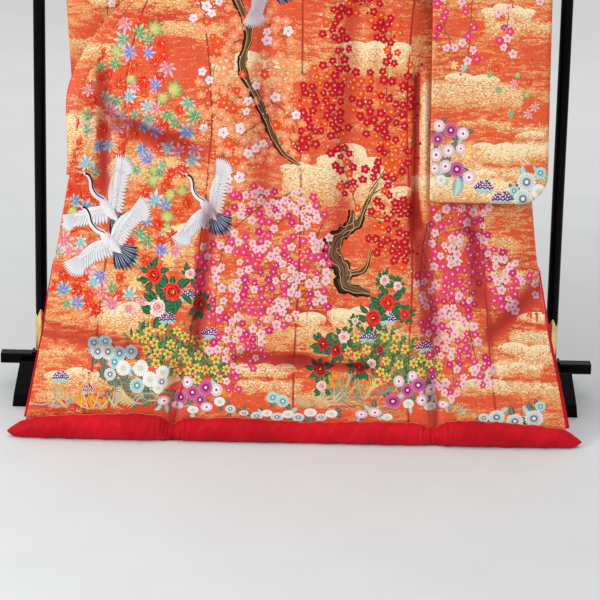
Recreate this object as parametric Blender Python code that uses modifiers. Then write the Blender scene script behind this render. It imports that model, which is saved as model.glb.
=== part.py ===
"""An uchikake wedding kimono hung by its sleeves on a lacquered kimono stand.

The back faces -Y. The two fronts are drawn out at the sides and the padded hem
lies on the floor. Metres, +Z up. X = 0 is midway between the posts and Y = 0 is
the middle of the whole piece from front to back. Left and right are a viewer's
who looks at the back, which are the wearer's own.
"""

from math import atan2, cos, exp, hypot, pi, radians, sin, sqrt

import bmesh
import bpy
from mathutils import Matrix, Vector

# ---- Driving dimensions ---------------------------------------------------

CLOTH = 0.003            # the wall: brocade, wadding and lining together
HALF = CLOTH / 2
SEAM_GAP = 0.0006        # between neighbouring pieces of cloth
TWIST_GAP = 0.0018       # added to it where the fronts turn under the arms
FIT_GAP = 0.0003         # between hard pieces that touch

POLE_HEIGHT = 1.75       # axis of the pole through the sleeves
POLE_RADIUS = 0.015
POLE_HALF_LENGTH = 0.885
POLE_CAP_LENGTH = 0.018
WRAP_RADIUS = POLE_RADIUS + 0.002 + HALF  # the cloth's middle round the pole

POST_OUT = 0.780         # post axis from the middle
POST_RADIUS = 0.018
FOOT_HALF_LENGTH = 0.175
FOOT_TOE_HEIGHT = 0.040
FOOT_HEIGHT = 0.100
FOOT_FLAT_HALF = 0.045   # half the level top, fore and aft
FOOT_TOP_HALF_WIDTH = 0.0635
FOOT_BASE_HALF_WIDTH = 0.075
BAR_HALF_LENGTH = 0.905
BAR_DEPTH = 0.041
BAR_BOTTOM = 0.085
BAR_TOP = 0.116
PLINTH_LENGTH = 0.058
PLINTH_HEIGHT = 0.006
SOCKET_HEIGHT = 0.125    # brass sleeve round the foot of each post
SOCKET_WALL = 0.0012
SOCKET_SCALLOP = 0.012   # its upper edge rises and falls by this
SADDLE_SIZE = (0.046, 0.044, 0.029)

ROLL_Y = -0.425          # axis of the hem roll, ahead of the posts
HEM_HEIGHT = 0.066       # where the cloth meets the roll
HEM_GAP = 0.0022         # from the roll up to the middle of the cloth's edge
HEM_FORWARD = 0.390      # how far the hem stands ahead of the cloth's top
HEM_FADE = 0.8           # how much of a fold is gone where it meets the roll
FLARE = 1.6              # how late the cloth swings forward on its way down
OVER_POLE = (0.34, 0.67, 0.92, 1.0)  # rows over the pole, as shares of a quarter turn

SLIT_BOTTOM = 1.38       # end of the open slit under the arm
SLEEVE_BOTTOM = 0.690
SLEEVE_CORNER = 0.085
CUFF_BOTTOM = 1.49
NECK_HALF_WIDTH = 0.105
NECK_DROP = 1.742        # centre of the back neckline
COLLAR_END = 0.735       # lower end of the collar
OKUMI_TOP = 1.34         # the overlap panel's upper point
BODY_STEPS = 24          # rows of the body from the hem up to the pole

# The whole piece is moved back by this, so that Y = 0 is its middle.
ROLL_FRONT = 0.0372
MIDDLE_Y = (FOOT_HALF_LENGTH + ROLL_Y - ROLL_FRONT) / 2

# Each front at a height: the side seam and the front edge as distances out from
# the middle, the overlap seam and the collar seam as shares of the way between
# them, and how far the front edge lies behind the sheet of the back.
FRONT_COLUMNS = ("height", "side", "okumi", "collar", "edge", "behind")
LEFT_FRONT = (
    (0.066, 0.358, 0.604, 1.000, 0.792, 0.000),
    (0.180, 0.326, 0.625, 1.000, 0.767, 0.000),
    (0.300, 0.310, 0.634, 1.000, 0.745, 0.000),
    (0.420, 0.300, 0.640, 1.000, 0.729, 0.001),
    (0.540, 0.290, 0.640, 1.000, 0.709, 0.003),
    (0.660, 0.276, 0.625, 1.000, 0.690, 0.005),
    (0.780, 0.267, 0.605, 0.965, 0.685, 0.008),
    (0.880, 0.260, 0.590, 0.930, 0.689, 0.011),
    (0.970, 0.263, 0.600, 0.905, 0.688, 0.015),
    (1.060, 0.270, 0.615, 0.885, 0.655, 0.017),
    (1.180, 0.288, 0.660, 0.875, 0.573, 0.017),
    (1.300, 0.316, 0.760, 0.870, 0.452, 0.018),
    (1.380, 0.335, 0.835, 0.865, 0.352, 0.028),
    (1.460, 0.355, 0.856, 0.862, 0.262, 0.092),
    (1.560, 0.366, 0.858, 0.860, 0.175, 0.087),
    (1.650, 0.369, 0.860, 0.860, 0.115, 0.069),
    (1.750, 0.370, 0.860, 0.860, 0.062, 0.046),
)
RIGHT_FRONT = (
    (0.066, 0.335, 0.561, 1.000, 0.800, 0.000),
    (0.180, 0.333, 0.563, 1.000, 0.772, 0.000),
    (0.300, 0.334, 0.567, 1.000, 0.743, 0.000),
    (0.420, 0.338, 0.571, 1.000, 0.721, 0.001),
    (0.540, 0.336, 0.575, 1.000, 0.701, 0.003),
    (0.660, 0.328, 0.580, 1.000, 0.688, 0.007),
    (0.780, 0.319, 0.585, 0.965, 0.686, 0.020),
    (0.880, 0.313, 0.590, 0.930, 0.690, 0.038),
    (0.970, 0.312, 0.600, 0.905, 0.688, 0.062),
    (1.060, 0.314, 0.615, 0.885, 0.650, 0.092),
    (1.180, 0.320, 0.660, 0.875, 0.560, 0.127),
    (1.300, 0.331, 0.760, 0.870, 0.435, 0.150),
    (1.380, 0.343, 0.835, 0.865, 0.347, 0.153),
    (1.460, 0.357, 0.856, 0.862, 0.265, 0.137),
    (1.560, 0.366, 0.858, 0.860, 0.175, 0.102),
    (1.650, 0.369, 0.860, 0.860, 0.115, 0.069),
    (1.750, 0.370, 0.860, 0.860, 0.062, 0.046),
)
FRONTS = {-1: LEFT_FRONT, 1: RIGHT_FRONT}

# The centre seam, which strays a little from the middle on its way down.
SEAM_COLUMNS = ("height", "out")
CENTRE_SEAM = (
    (0.066, -0.005),
    (0.180, -0.006),
    (0.366, 0.000),
    (0.475, 0.005),
    (0.880, 0.003),
    (1.300, 0.000),
    (1.750, 0.000),
)

# Above the slit the front hangs on the far side of the pole, at these depths.
SHOULDER_COLUMNS = ("height", "depth")
FRONT_SHOULDER = (
    (1.38, -0.0537),
    (1.48, 0.0120),
    (1.62, 0.0200),
    (1.75, WRAP_RADIUS),
)

# The sleeves: the depths of the two layers and their inner and outer edges.
SLEEVE_COLUMNS = ("height", "viewer", "far", "inner", "outer")
LEFT_SLEEVE = (
    (0.690, -0.0100, 0.0140, 0.3200, 0.6660),
    (0.900, -0.0090, 0.0150, 0.3330, 0.6790),
    (1.100, -0.0080, 0.0160, 0.3450, 0.6910),
    (1.300, -0.0060, 0.0170, 0.3600, 0.7030),
    (1.400, -0.0080, 0.0170, 0.3680, 0.7080),
    (1.480, -0.0400, 0.0120, 0.3640, 0.7130),
    (1.620, -0.0254, 0.0200, 0.3705, 0.7210),
    (1.750, -WRAP_RADIUS, WRAP_RADIUS, 0.3710, 0.7280),
)
RIGHT_SLEEVE = (
    (0.690, -0.2560, -0.2320, 0.3820, 0.7270),
    (0.900, -0.1920, -0.1680, 0.3810, 0.7270),
    (1.100, -0.1360, -0.1120, 0.3800, 0.7275),
    (1.300, -0.0860, -0.0580, 0.3770, 0.7280),
    (1.480, -0.0400, 0.0120, 0.3640, 0.7280),
    (1.620, -0.0254, 0.0200, 0.3705, 0.7280),
    (1.750, -WRAP_RADIUS, WRAP_RADIUS, 0.3710, 0.7280),
)
SLEEVES = {-1: LEFT_SLEEVE, 1: RIGHT_SLEEVE}

# The largest folds, from one end to the other. A positive depth is a trough.
FOLDS = (
    # from_x, from_z, to_x, to_z, half_width, depth
    (-0.262, 0.62, -0.290, 0.28, 0.022, 0.016),   # beside the left side seam
    (-0.745, 0.34, -0.490, 0.29, 0.020, -0.008),  # the tuck low on the left front
    (-0.750, 0.29, -0.470, 0.24, 0.022, 0.010),
    (-0.520, 0.88, -0.330, 0.81, 0.034, 0.013),   # sag between the arms
    (-0.585, 1.00, -0.575, 0.72, 0.026, 0.014),
    (-0.645, 1.00, -0.655, 0.76, 0.028, -0.008),
    (0.338, 1.02, 0.345, 0.60, 0.022, 0.012),     # beside the right side seam
    (0.350, 0.62, 0.400, 0.32, 0.034, 0.017),
    (0.510, 0.62, 0.540, 0.42, 0.028, 0.010),
    (0.600, 0.33, 0.735, 0.45, 0.026, 0.009),
    (0.010, 0.25, 0.150, 0.21, 0.030, 0.008),
    (-0.130, 1.40, -0.105, 0.70, 0.045, 0.009),
    (0.150, 1.35, 0.125, 0.60, 0.040, 0.009),
    (-0.354, 0.18, -0.359, 0.06, 0.024, 0.010),   # above the left hem pinch
    (0.402, 0.16, 0.411, 0.06, 0.018, 0.013),     # above the right hem pinch
    (0.372, 0.16, 0.377, 0.06, 0.018, -0.007),
)

# The hem roll: its half thickness along its length, drawn in at the pinches.
ROLL_COLUMNS = ("x", "radius")
HEM_ROLL = (
    (-0.845, 0.0060),
    (-0.828, 0.0175),
    (-0.800, 0.0265),
    (-0.720, 0.0325),
    (-0.560, 0.0365),
    (-0.460, 0.0385),
    (-0.395, 0.0355),
    (-0.361, 0.0255),
    (-0.325, 0.0340),
    (-0.280, 0.0335),
    (-0.170, 0.0350),
    (-0.020, 0.0315),
    (0.100, 0.0315),
    (0.250, 0.0335),
    (0.370, 0.0315),
    (0.410, 0.0260),
    (0.448, 0.0360),
    (0.570, 0.0365),
    (0.650, 0.0340),
    (0.740, 0.0305),
    (0.805, 0.0255),
    (0.830, 0.0170),
    (0.845, 0.0060),
)
PINCHES = (-0.361, 0.410)
GATHER_REACH = 0.062     # the gathers reach this far to each side of a pinch
GATHER_PITCH = 0.021
GATHER_DEPTH = 0.0022

GATHERS = {-1: 0.0025, 1: 0.0065}  # how deep the fronts gather under the arms

NAME = "uchikake on stand"


# ---- Working out the shapes -----------------------------------------------

def read(table, columns, wanted, at):
    """The wanted column of a table at a place in its first column, smoothly."""
    column = columns.index(wanted)
    last = len(table) - 1
    if at <= table[0][0]:
        return table[0][column]
    if at >= table[last][0]:
        return table[last][column]
    i = max(k for k in range(last) if table[k][0] <= at)
    span = table[i + 1][0] - table[i][0]
    share = (at - table[i][0]) / span

    def slope(k):
        before, after = table[max(k - 1, 0)], table[min(k + 1, last)]
        return (after[column] - before[column]) / (after[0] - before[0])

    start, end = table[i][column], table[i + 1][column]
    rise = end - start
    a = slope(i) * span - rise
    b = rise - slope(i + 1) * span
    return start + rise * share + share * (1 - share) * (a * (1 - share) + b * share)


def ease(value, low, high):
    """0 below low, 1 above high, smooth between."""
    share = min(max((value - low) / (high - low), 0.0), 1.0)
    return share * share * (3 - 2 * share)


def lean(height):
    """Y of the sheet of the back: plumb at the pole, well forward at the hem."""
    share = 1 - (height - HEM_HEIGHT) / (POLE_HEIGHT - HEM_HEIGHT)
    share = min(max(share, 0.0), 1.0)
    return -WRAP_RADIUS - HEM_FORWARD * share ** FLARE


def fold_depth(x, height):
    """How far the folds push the cloth back at one place."""
    total = 0.0
    for from_x, from_z, to_x, to_z, half_width, depth in FOLDS:
        run_x, run_z = to_x - from_x, to_z - from_z
        length = hypot(run_x, run_z)
        along = ((x - from_x) * run_x + (height - from_z) * run_z) / length
        across = ((x - from_x) * run_z - (height - from_z) * run_x) / length
        beyond = max(-along, along - length, 0.0)
        fade = exp(-(across / half_width) ** 2 - (beyond / (2 * half_width)) ** 2)
        total += depth * fade
    return total


def roll_radius(x):
    """Half the thickness of the hem roll, with its gathers."""
    radius = read(HEM_ROLL, ROLL_COLUMNS, "radius", x)
    for pinch in PINCHES:
        away = abs(x - pinch)
        if away < GATHER_REACH:
            wave = 0.5 - 0.5 * cos(2 * pi * away / GATHER_PITCH)
            radius -= GATHER_DEPTH * wave * (1 - away / GATHER_REACH)
    return radius


def roll_section(x, turn):
    """A point of the roll's surface: turn 0 faces back, a quarter turn is up."""
    radius = roll_radius(x)
    height = 0.93 * radius + 1.02 * radius * sin(turn)
    return Vector((x, ROLL_Y + radius * cos(turn), max(height, 0.0)))


def hem_lift(x, height):
    """How far the cloth's lower part is moved so that it ends just on the roll."""
    radius = max(roll_radius(x + step) for step in (-0.012, 0.0, 0.012))
    forward = (lean(HEM_HEIGHT) - CLOTH - ROLL_Y) / max(radius, 0.015)
    surface = radius * (0.93 + 1.02 * sqrt(1 - forward * forward))
    near = 1 - min((height - HEM_HEIGHT) / 0.14, 1.0)
    return (surface + HEM_GAP - HEM_HEIGHT) * near


def seam_gap(level):
    """The gap at a seam, wider where the cloth turns sharply."""
    return SEAM_GAP + TWIST_GAP * ease(level, 0.95, 1.20)


def back_point(side, share, level):
    """A point of the back, share 0 at the centre seam and 1 at the side seam.

    Above the pole's axis the level runs on round the pole, as arc length.
    """
    height = min(level, POLE_HEIGHT)
    inner = side * read(CENTRE_SEAM, SEAM_COLUMNS, "out", height) + SEAM_GAP / 2
    outer = read(FRONTS[side], FRONT_COLUMNS, "side", height) - seam_gap(height) / 2
    turn = max(level - POLE_HEIGHT, 0.0) / WRAP_RADIUS
    if level > NECK_DROP:
        arc = ease(level, NECK_DROP, NECK_DROP + 0.026)
        inner = NECK_HALF_WIDTH * arc ** 0.5 + SEAM_GAP
    x = side * (inner + (outer - inner) * share)
    if level > POLE_HEIGHT:
        y = -WRAP_RADIUS * cos(turn)
        return Vector((x, y, POLE_HEIGHT + WRAP_RADIUS * sin(turn)))
    y = lean(height) + fold_depth(x, height) * ease(1.62 - height, 0.0, 0.3)
    y += HEM_FADE * (lean(height) - y) * (1 - ease(height, HEM_HEIGHT, 0.18))
    return Vector((x, y, height + hem_lift(x, height)))


def front_point(side, share, level):
    """A point of a front, share 0 at the side seam and 1 at the front edge."""
    table = FRONTS[side]
    height = min(level, POLE_HEIGHT)
    turn = max(level - POLE_HEIGHT, 0.0) / WRAP_RADIUS
    start_y = lean(height)
    if height > SLIT_BOTTOM:
        start_y = read(FRONT_SHOULDER, SHOULDER_COLUMNS, "depth", height)
    start = Vector((read(table, FRONT_COLUMNS, "side", height), start_y))
    start.x += seam_gap(height) / 2 * (-1 if height > SLIT_BOTTOM else 1)
    end_y = lean(height) + read(table, FRONT_COLUMNS, "behind", height)
    end = Vector((read(table, FRONT_COLUMNS, "edge", height), end_y))
    across = end - start
    spot = start + across * share
    outward = Vector((across.y, -across.x)).normalized()
    gather = GATHERS[side] * exp(-((height - 1.34) / 0.13) ** 2) * sin(pi * share)
    spot += outward * gather * sin(4 * pi * share)
    fade = ease(1.25 - height, 0.0, 0.25)
    fade *= 1 - HEM_FADE * (1 - ease(height, HEM_HEIGHT, 0.18))
    spot.y += fold_depth(side * spot.x, height) * fade
    if level > POLE_HEIGHT:
        spot.y = start_y * cos(turn) + (spot.y - start_y)
        return Vector((side * spot.x, spot.y, POLE_HEIGHT + WRAP_RADIUS * sin(turn)))
    x = side * spot.x
    return Vector((x, spot.y, height + hem_lift(x, height)))


def seam_share(side, seam, level):
    """Where a seam of the front lies, as a share from side seam to front edge."""
    return read(FRONTS[side], FRONT_COLUMNS, seam, min(level, POLE_HEIGHT))


def seam_width(side, level):
    """The width of a front at a level, to turn a gap into a share."""
    return (front_point(side, 1, level) - front_point(side, 0, level)).length


def panel_point(side, share, level, first, last):
    """A point of the strip of a front between two seams, half a gap inside each."""
    gap = 0.5 * seam_gap(level) / seam_width(side, level)
    start = seam_share(side, first, level) + gap if first != "side" else 0.0
    end = seam_share(side, last, level) - gap if last != "edge" else 1.0
    return front_point(side, start + (end - start) * share, level)


def sleeve_floor(side, x_out):
    """The sleeve's lower edge at a distance out, with its rounded outer corner."""
    outer = read(SLEEVES[side], SLEEVE_COLUMNS, "outer", SLEEVE_BOTTOM)
    into = max(x_out - (outer - SLEEVE_CORNER), 0.0)
    into = min(into, SLEEVE_CORNER)
    return SLEEVE_BOTTOM + SLEEVE_CORNER - sqrt(SLEEVE_CORNER ** 2 - into ** 2)


def sleeve_point(side, layer, share, rise):
    """A point of one layer of a sleeve. layer is "viewer" or "far", share 0 at the
    body and 1 at the cuff's edge, and rise the height above the lower edge, which
    runs on round the pole as arc length."""
    table = SLEEVES[side]
    base_outer = read(table, SLEEVE_COLUMNS, "outer", SLEEVE_BOTTOM)
    base_inner = read(table, SLEEVE_COLUMNS, "inner", SLEEVE_BOTTOM)
    floor = sleeve_floor(side, base_inner + (base_outer - base_inner) * share)
    top = POLE_HEIGHT - SLEEVE_BOTTOM
    level = floor + rise * (POLE_HEIGHT - floor) / top if rise > 0.02 else floor + rise
    if rise > top:
        level = POLE_HEIGHT + rise - top
    height = min(level, POLE_HEIGHT)
    inner = read(table, SLEEVE_COLUMNS, "inner", height)
    outer = read(table, SLEEVE_COLUMNS, "outer", height)
    near = read(table, SLEEVE_COLUMNS, "viewer", height)
    far = read(table, SLEEVE_COLUMNS, "far", height)
    x = inner + (outer - inner) * share
    turn = max(level - POLE_HEIGHT, 0.0) / WRAP_RADIUS
    middle, spread = (near + far) / 2, (far - near) / 2
    to_floor = level - floor
    to_edge = outer - x
    shut = ease(CUFF_BOTTOM + 0.02 - height, 0.0, 0.04)
    roundness = min(to_floor, 0.012) / 0.012
    edge_round = min(to_edge, 0.012) / 0.012
    edge_round = 1 - shut * (1 - edge_round)
    closing = sqrt(max(1 - (1 - min(roundness, edge_round)) ** 2, 0.0))
    spread = SEAM_GAP / 2 + HALF + (spread - SEAM_GAP / 2 - HALF) * closing
    if level > POLE_HEIGHT:
        spread = WRAP_RADIUS * cos(turn)
    y = middle + (spread if layer == "far" else -spread)
    y += 0.006 * sin(2 * pi * share) * ease(1.5 - height, 0.0, 0.5) * closing
    z = POLE_HEIGHT + WRAP_RADIUS * sin(turn) if level > POLE_HEIGHT else level
    return Vector((side * x, y, z))


# Where the collar leaves the front and goes round the neck: seam edge, free edge.
NECK = (
    # seam_x, seam_y, seam_z, free_x, free_y, free_z
    (0.1035, 0.0120, 1.7690, 0.0680, 0.0240, 1.7860),
    (0.1035, 0.0000, 1.7735, 0.0640, 0.0080, 1.7950),
    (0.0980, -0.0165, 1.7670, 0.0580, -0.0060, 1.7990),
    (0.0760, -0.0232, 1.7520, 0.0450, -0.0140, 1.7990),
    (0.0400, -0.0232, 1.7420, 0.0240, -0.0175, 1.7970),
    (0.0003, -0.0232, 1.7380, 0.0003, -0.0185, 1.7960),
)


def collar_rows(side):
    """The collar from its lower end to the centre of the neck, seam and free edge."""
    rows = []
    levels = [level for level in body_levels() if COLLAR_END < level < POLE_HEIGHT]
    for level in [COLLAR_END, *levels, POLE_HEIGHT]:
        gap = 0.5 * seam_gap(level) / seam_width(side, level)
        seam = seam_share(side, "collar", level) + gap
        rows.append((front_point(side, seam, level), front_point(side, 1, level)))
    for seam_x, seam_y, seam_z, free_x, free_y, free_z in NECK:
        seam = Vector((side * seam_x, seam_y, seam_z))
        rows.append((seam, Vector((side * free_x, free_y, free_z))))
    return rows


# ---- Building --------------------------------------------------------------

def clear_scene():
    for old in list(bpy.data.objects):
        bpy.data.objects.remove(old, do_unlink=True)


def material(name, color, roughness, metallic=0.0):
    made = bpy.data.materials.new(name)
    made.use_nodes = True
    shader = made.node_tree.nodes["Principled BSDF"]
    shader.inputs["Base Color"].default_value = (*color, 1.0)
    shader.inputs["Roughness"].default_value = roughness
    shader.inputs["Metallic"].default_value = metallic
    made.diffuse_color = (*color, 1.0)
    return made


def place(name, mesh, finish, shade=True):
    """A new object in the part's collection, with its material."""
    mesh.materials.append(finish)
    if shade:
        mesh.shade_smooth()
        mesh.set_sharp_from_angle(angle=radians(40))
    made = bpy.data.objects.new(name, mesh)
    parts.objects.link(made)
    made.location.y = -MIDDLE_Y
    return made


def mesh_of(work, name):
    made = bpy.data.meshes.new(name)
    work.to_mesh(made)
    work.free()
    return made


def cloth_panel(name, columns, levels, point, finish):
    """An open sheet through point(share, level), made a wall by Solidify."""
    work = bmesh.new()
    grid = [[work.verts.new(point(c, level)) for c in columns] for level in levels]
    for low, high in zip(grid, grid[1:]):
        for a, b, c, d in zip(low, low[1:], high[1:], high):
            work.faces.new((a, b, c, d))
    bmesh.ops.recalc_face_normals(work, faces=work.faces[:])
    made = place(name, mesh_of(work, name), finish)
    wall = made.modifiers.new("Wall", "SOLIDIFY")
    wall.thickness = CLOTH
    wall.offset = 0.0
    return made


def shares(count):
    return [i / count for i in range(count + 1)]


def body_levels():
    """Levels from the hem up to the pole, then over it to just short of its top."""
    rise = (POLE_HEIGHT - HEM_HEIGHT) / BODY_STEPS
    rows = [HEM_HEIGHT + rise * i for i in range(BODY_STEPS)] + [NECK_DROP, POLE_HEIGHT]
    over = WRAP_RADIUS * pi / 2 - SEAM_GAP / 2
    return rows + [POLE_HEIGHT + over * share for share in OVER_POLE]


def add_backs(finish):
    for side, word in ((-1, "left"), (1, "right")):
        cloth_panel(
            f"back_{word}",
            shares(9),
            body_levels(),
            lambda share, level, side=side: back_point(side, share, level),
            finish,
        )


def add_fronts(finish, overlap_finish):
    for side, word in ((-1, "left"), (1, "right")):
        cloth_panel(
            f"front_{word}",
            shares(9),
            body_levels(),
            lambda share, level, side=side: panel_point(side, share, level, "side", "okumi"),
            finish,
        )
        cloth_panel(
            f"overlap_{word}",
            shares(5),
            [level for level in body_levels() if level < OKUMI_TOP],
            lambda share, level, side=side: panel_point(side, share, level, "okumi", "collar"),
            overlap_finish,
        )


def add_collars(finish):
    for side, word in ((-1, "left"), (1, "right")):
        rows = collar_rows(side)
        cloth_panel(
            f"collar_{word}",
            shares(2),
            range(len(rows)),
            lambda share, row, rows=rows: rows[row][0].lerp(rows[row][1], share),
            finish,
        )


def sleeve_shares(side):
    """Even steps across the sleeve, then closer ones round its lower corner."""
    table = SLEEVES[side]
    inner = read(table, SLEEVE_COLUMNS, "inner", SLEEVE_BOTTOM)
    outer = read(table, SLEEVE_COLUMNS, "outer", SLEEVE_BOTTOM)
    straight = 1 - SLEEVE_CORNER / (outer - inner)
    even = [straight * i / 4 for i in range(5)]
    turns = [radians(angle) for angle in (26, 46, 62, 76)]
    corner = [straight + (1 - straight) * sin(turn) for turn in turns]
    return even + corner + [1.0]


def add_sleeves(finish):
    top = POLE_HEIGHT - SLEEVE_BOTTOM
    over = WRAP_RADIUS * pi / 2 - SEAM_GAP / 2
    rises = [0.0, 0.004, 0.012] + [0.012 + (top - 0.012) * i / 9 for i in range(1, 10)]
    rises += [top + over * share for share in OVER_POLE]
    for side, word in ((-1, "left"), (1, "right")):
        for layer in ("viewer", "far"):
            cloth_panel(
                f"sleeve_{word}_{'back' if layer == 'viewer' else 'front'}",
                sleeve_shares(side),
                rises,
                lambda share, rise, side=side, layer=layer: sleeve_point(
                    side, layer, share, rise
                ),
                finish,
            )


def roll_stations(start, end):
    """Places along one stretch of the roll, close together at tips and gathers."""
    places = [start]
    while places[-1] < end - 0.004:
        here = places[-1]
        near_pinch = min(abs(here + 0.004 - pinch) for pinch in PINCHES) < GATHER_REACH
        near_tip = abs(here) > 0.79
        step = 0.0075 if near_pinch else 0.014 if near_tip else 0.045
        places.append(min(here + step, end))
    return places


def add_hem_roll(finish):
    """Three padded stretches, drawn in where they meet below the side seams."""
    ends = (HEM_ROLL[0][0], *PINCHES, HEM_ROLL[-1][0])
    sides = 12
    for word, start, end in zip(("left", "middle", "right"), ends, ends[1:]):
        start += SEAM_GAP / 2
        end -= SEAM_GAP / 2
        work = bmesh.new()
        rings = []
        for x in roll_stations(start, end):
            turns = [2 * pi * (i + 0.5) / sides for i in range(sides)]
            rings.append([work.verts.new(roll_section(x, turn)) for turn in turns])
        for low, high in zip(rings, rings[1:]):
            for i in range(sides):
                j = (i + 1) % sides
                work.faces.new((low[i], low[j], high[j], high[i]))
        work.faces.new(rings[0][::-1])
        work.faces.new(rings[-1])
        bmesh.ops.recalc_face_normals(work, faces=work.faces[:])
        place(f"hem_roll_{word}", mesh_of(work, f"hem_roll_{word}"), finish)


def add_edge_rolls(finish):
    """The thin end of the padding, up each front edge."""
    low, high, count = 0.084, 0.500, 12
    for side, word in ((-1, "left"), (1, "right")):
        line = bpy.data.curves.new(f"edge_roll_{word}", "CURVE")
        line.dimensions = "3D"
        line.bevel_depth = 0.0055
        line.bevel_resolution = 1
        line.use_fill_caps = True
        spline = line.splines.new("POLY")
        spline.points.add(count - 1)
        for i, point in enumerate(spline.points):
            share = i / (count - 1)
            level = low + (high - low) * share
            thin = 1 - 0.6 * share
            out = side * (line.bevel_depth * thin + SEAM_GAP)
            spot = front_point(side, 1, level) + Vector((out, 0, 0))
            point.co = (*spot, 1)
            point.radius = thin
        made = bpy.data.objects.new(f"edge_roll_{word}", line)
        line.materials.append(finish)
        parts.objects.link(made)
        made.location.y = -MIDDLE_Y


def block(name, size, centre, finish, bevel=0.0015):
    work = bmesh.new()
    bmesh.ops.create_cube(work, size=1.0)
    bmesh.ops.scale(work, vec=size, verts=work.verts)
    made = place(name, mesh_of(work, name), finish)
    made.location += Vector(centre)
    if bevel:
        edge = made.modifiers.new("Edges", "BEVEL")
        edge.width = bevel
        edge.segments = 2
    return made


def rod(name, radius, length, centre, finish, along="z", bevel=0.0, sides=28):
    work = bmesh.new()
    bmesh.ops.create_cone(
        work, cap_ends=True, segments=sides, radius1=radius, radius2=radius, depth=length
    )
    if along == "x":
        turn = Matrix.Rotation(pi / 2, 3, "Y")
        bmesh.ops.rotate(work, matrix=turn, verts=work.verts)
    made = place(name, mesh_of(work, name), finish)
    made.location += Vector(centre)
    if bevel:
        edge = made.modifiers.new("Edges", "BEVEL")
        edge.width = bevel
        edge.segments = 2
        edge.limit_method = "ANGLE"
    return made


def add_foot(side, word, finish):
    """A block with sloping toes, notched across the top for the bar."""
    notch = BAR_DEPTH / 2 + FIT_GAP
    half = (
        (FOOT_HALF_LENGTH, 0.0),
        (FOOT_HALF_LENGTH, FOOT_TOE_HEIGHT),
        (FOOT_FLAT_HALF, FOOT_HEIGHT),
        (notch, FOOT_HEIGHT),
        (notch, BAR_BOTTOM - FIT_GAP),
    )
    outline = [*half, *((-y, z) for y, z in reversed(half))]
    work = bmesh.new()
    ring = [work.verts.new((0, y, z)) for y, z in outline]
    face = work.faces.new(ring)
    extruded = bmesh.ops.extrude_face_region(work, geom=[face])
    moved = [e for e in extruded["geom"] if isinstance(e, bmesh.types.BMVert)]
    for verts, way in ((ring, -1), (moved, 1)):
        for vert in verts:
            share = vert.co.z / FOOT_HEIGHT
            spread = FOOT_TOP_HALF_WIDTH - FOOT_BASE_HALF_WIDTH
            vert.co.x = way * (FOOT_BASE_HALF_WIDTH + spread * share)
    bmesh.ops.recalc_face_normals(work, faces=work.faces[:])
    made = place(f"foot_{word}", mesh_of(work, f"foot_{word}"), finish)
    made.location.x = side * POST_OUT
    edge = made.modifiers.new("Edges", "BEVEL")
    edge.width = 0.0014
    edge.segments = 1
    edge.limit_method = "ANGLE"


def add_socket(side, word, bottom, finish):
    """A thin brass sleeve round the foot of a post, scalloped above."""
    sides = 32
    radius = POST_RADIUS + FIT_GAP + SOCKET_WALL / 2
    work = bmesh.new()
    bmesh.ops.create_cone(
        work, cap_ends=False, segments=sides, radius1=radius, radius2=radius,
        depth=SOCKET_HEIGHT,
    )
    for vert in work.verts:
        if vert.co.z > 0:
            vert.co.z += SOCKET_SCALLOP * cos(4 * atan2(vert.co.y, vert.co.x))
    made = place(f"post_socket_{word}", mesh_of(work, f"post_socket_{word}"), finish)
    made.location += Vector((side * POST_OUT, 0, bottom + SOCKET_HEIGHT / 2))
    wall = made.modifiers.new("Wall", "SOLIDIFY")
    wall.thickness = SOCKET_WALL
    wall.offset = 0.0


def add_saddle(side, word, finish):
    """The brass rest on top of a post, with a round groove for the pole."""
    centre = (side * POST_OUT, 0, POLE_HEIGHT - SADDLE_SIZE[2] / 2 - 0.0005)
    made = block(f"pole_saddle_{word}", SADDLE_SIZE, centre, finish, bevel=0.0)
    work = bmesh.new()
    bmesh.ops.create_cone(
        work, cap_ends=True, segments=32, radius1=POLE_RADIUS + FIT_GAP,
        radius2=POLE_RADIUS + FIT_GAP, depth=0.08,
    )
    turn = Matrix.Rotation(pi / 2, 3, "Y")
    bmesh.ops.rotate(work, matrix=turn, verts=work.verts)
    cutter = bpy.data.objects.new(f"groove_{word}", mesh_of(work, f"groove_{word}"))
    cutters.objects.link(cutter)
    cutter.location = (side * POST_OUT, -MIDDLE_Y, POLE_HEIGHT)
    cutter.hide_render = True
    cutter.display_type = "WIRE"
    groove = made.modifiers.new("Groove", "BOOLEAN")
    groove.operation = "DIFFERENCE"
    groove.object = cutter


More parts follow.
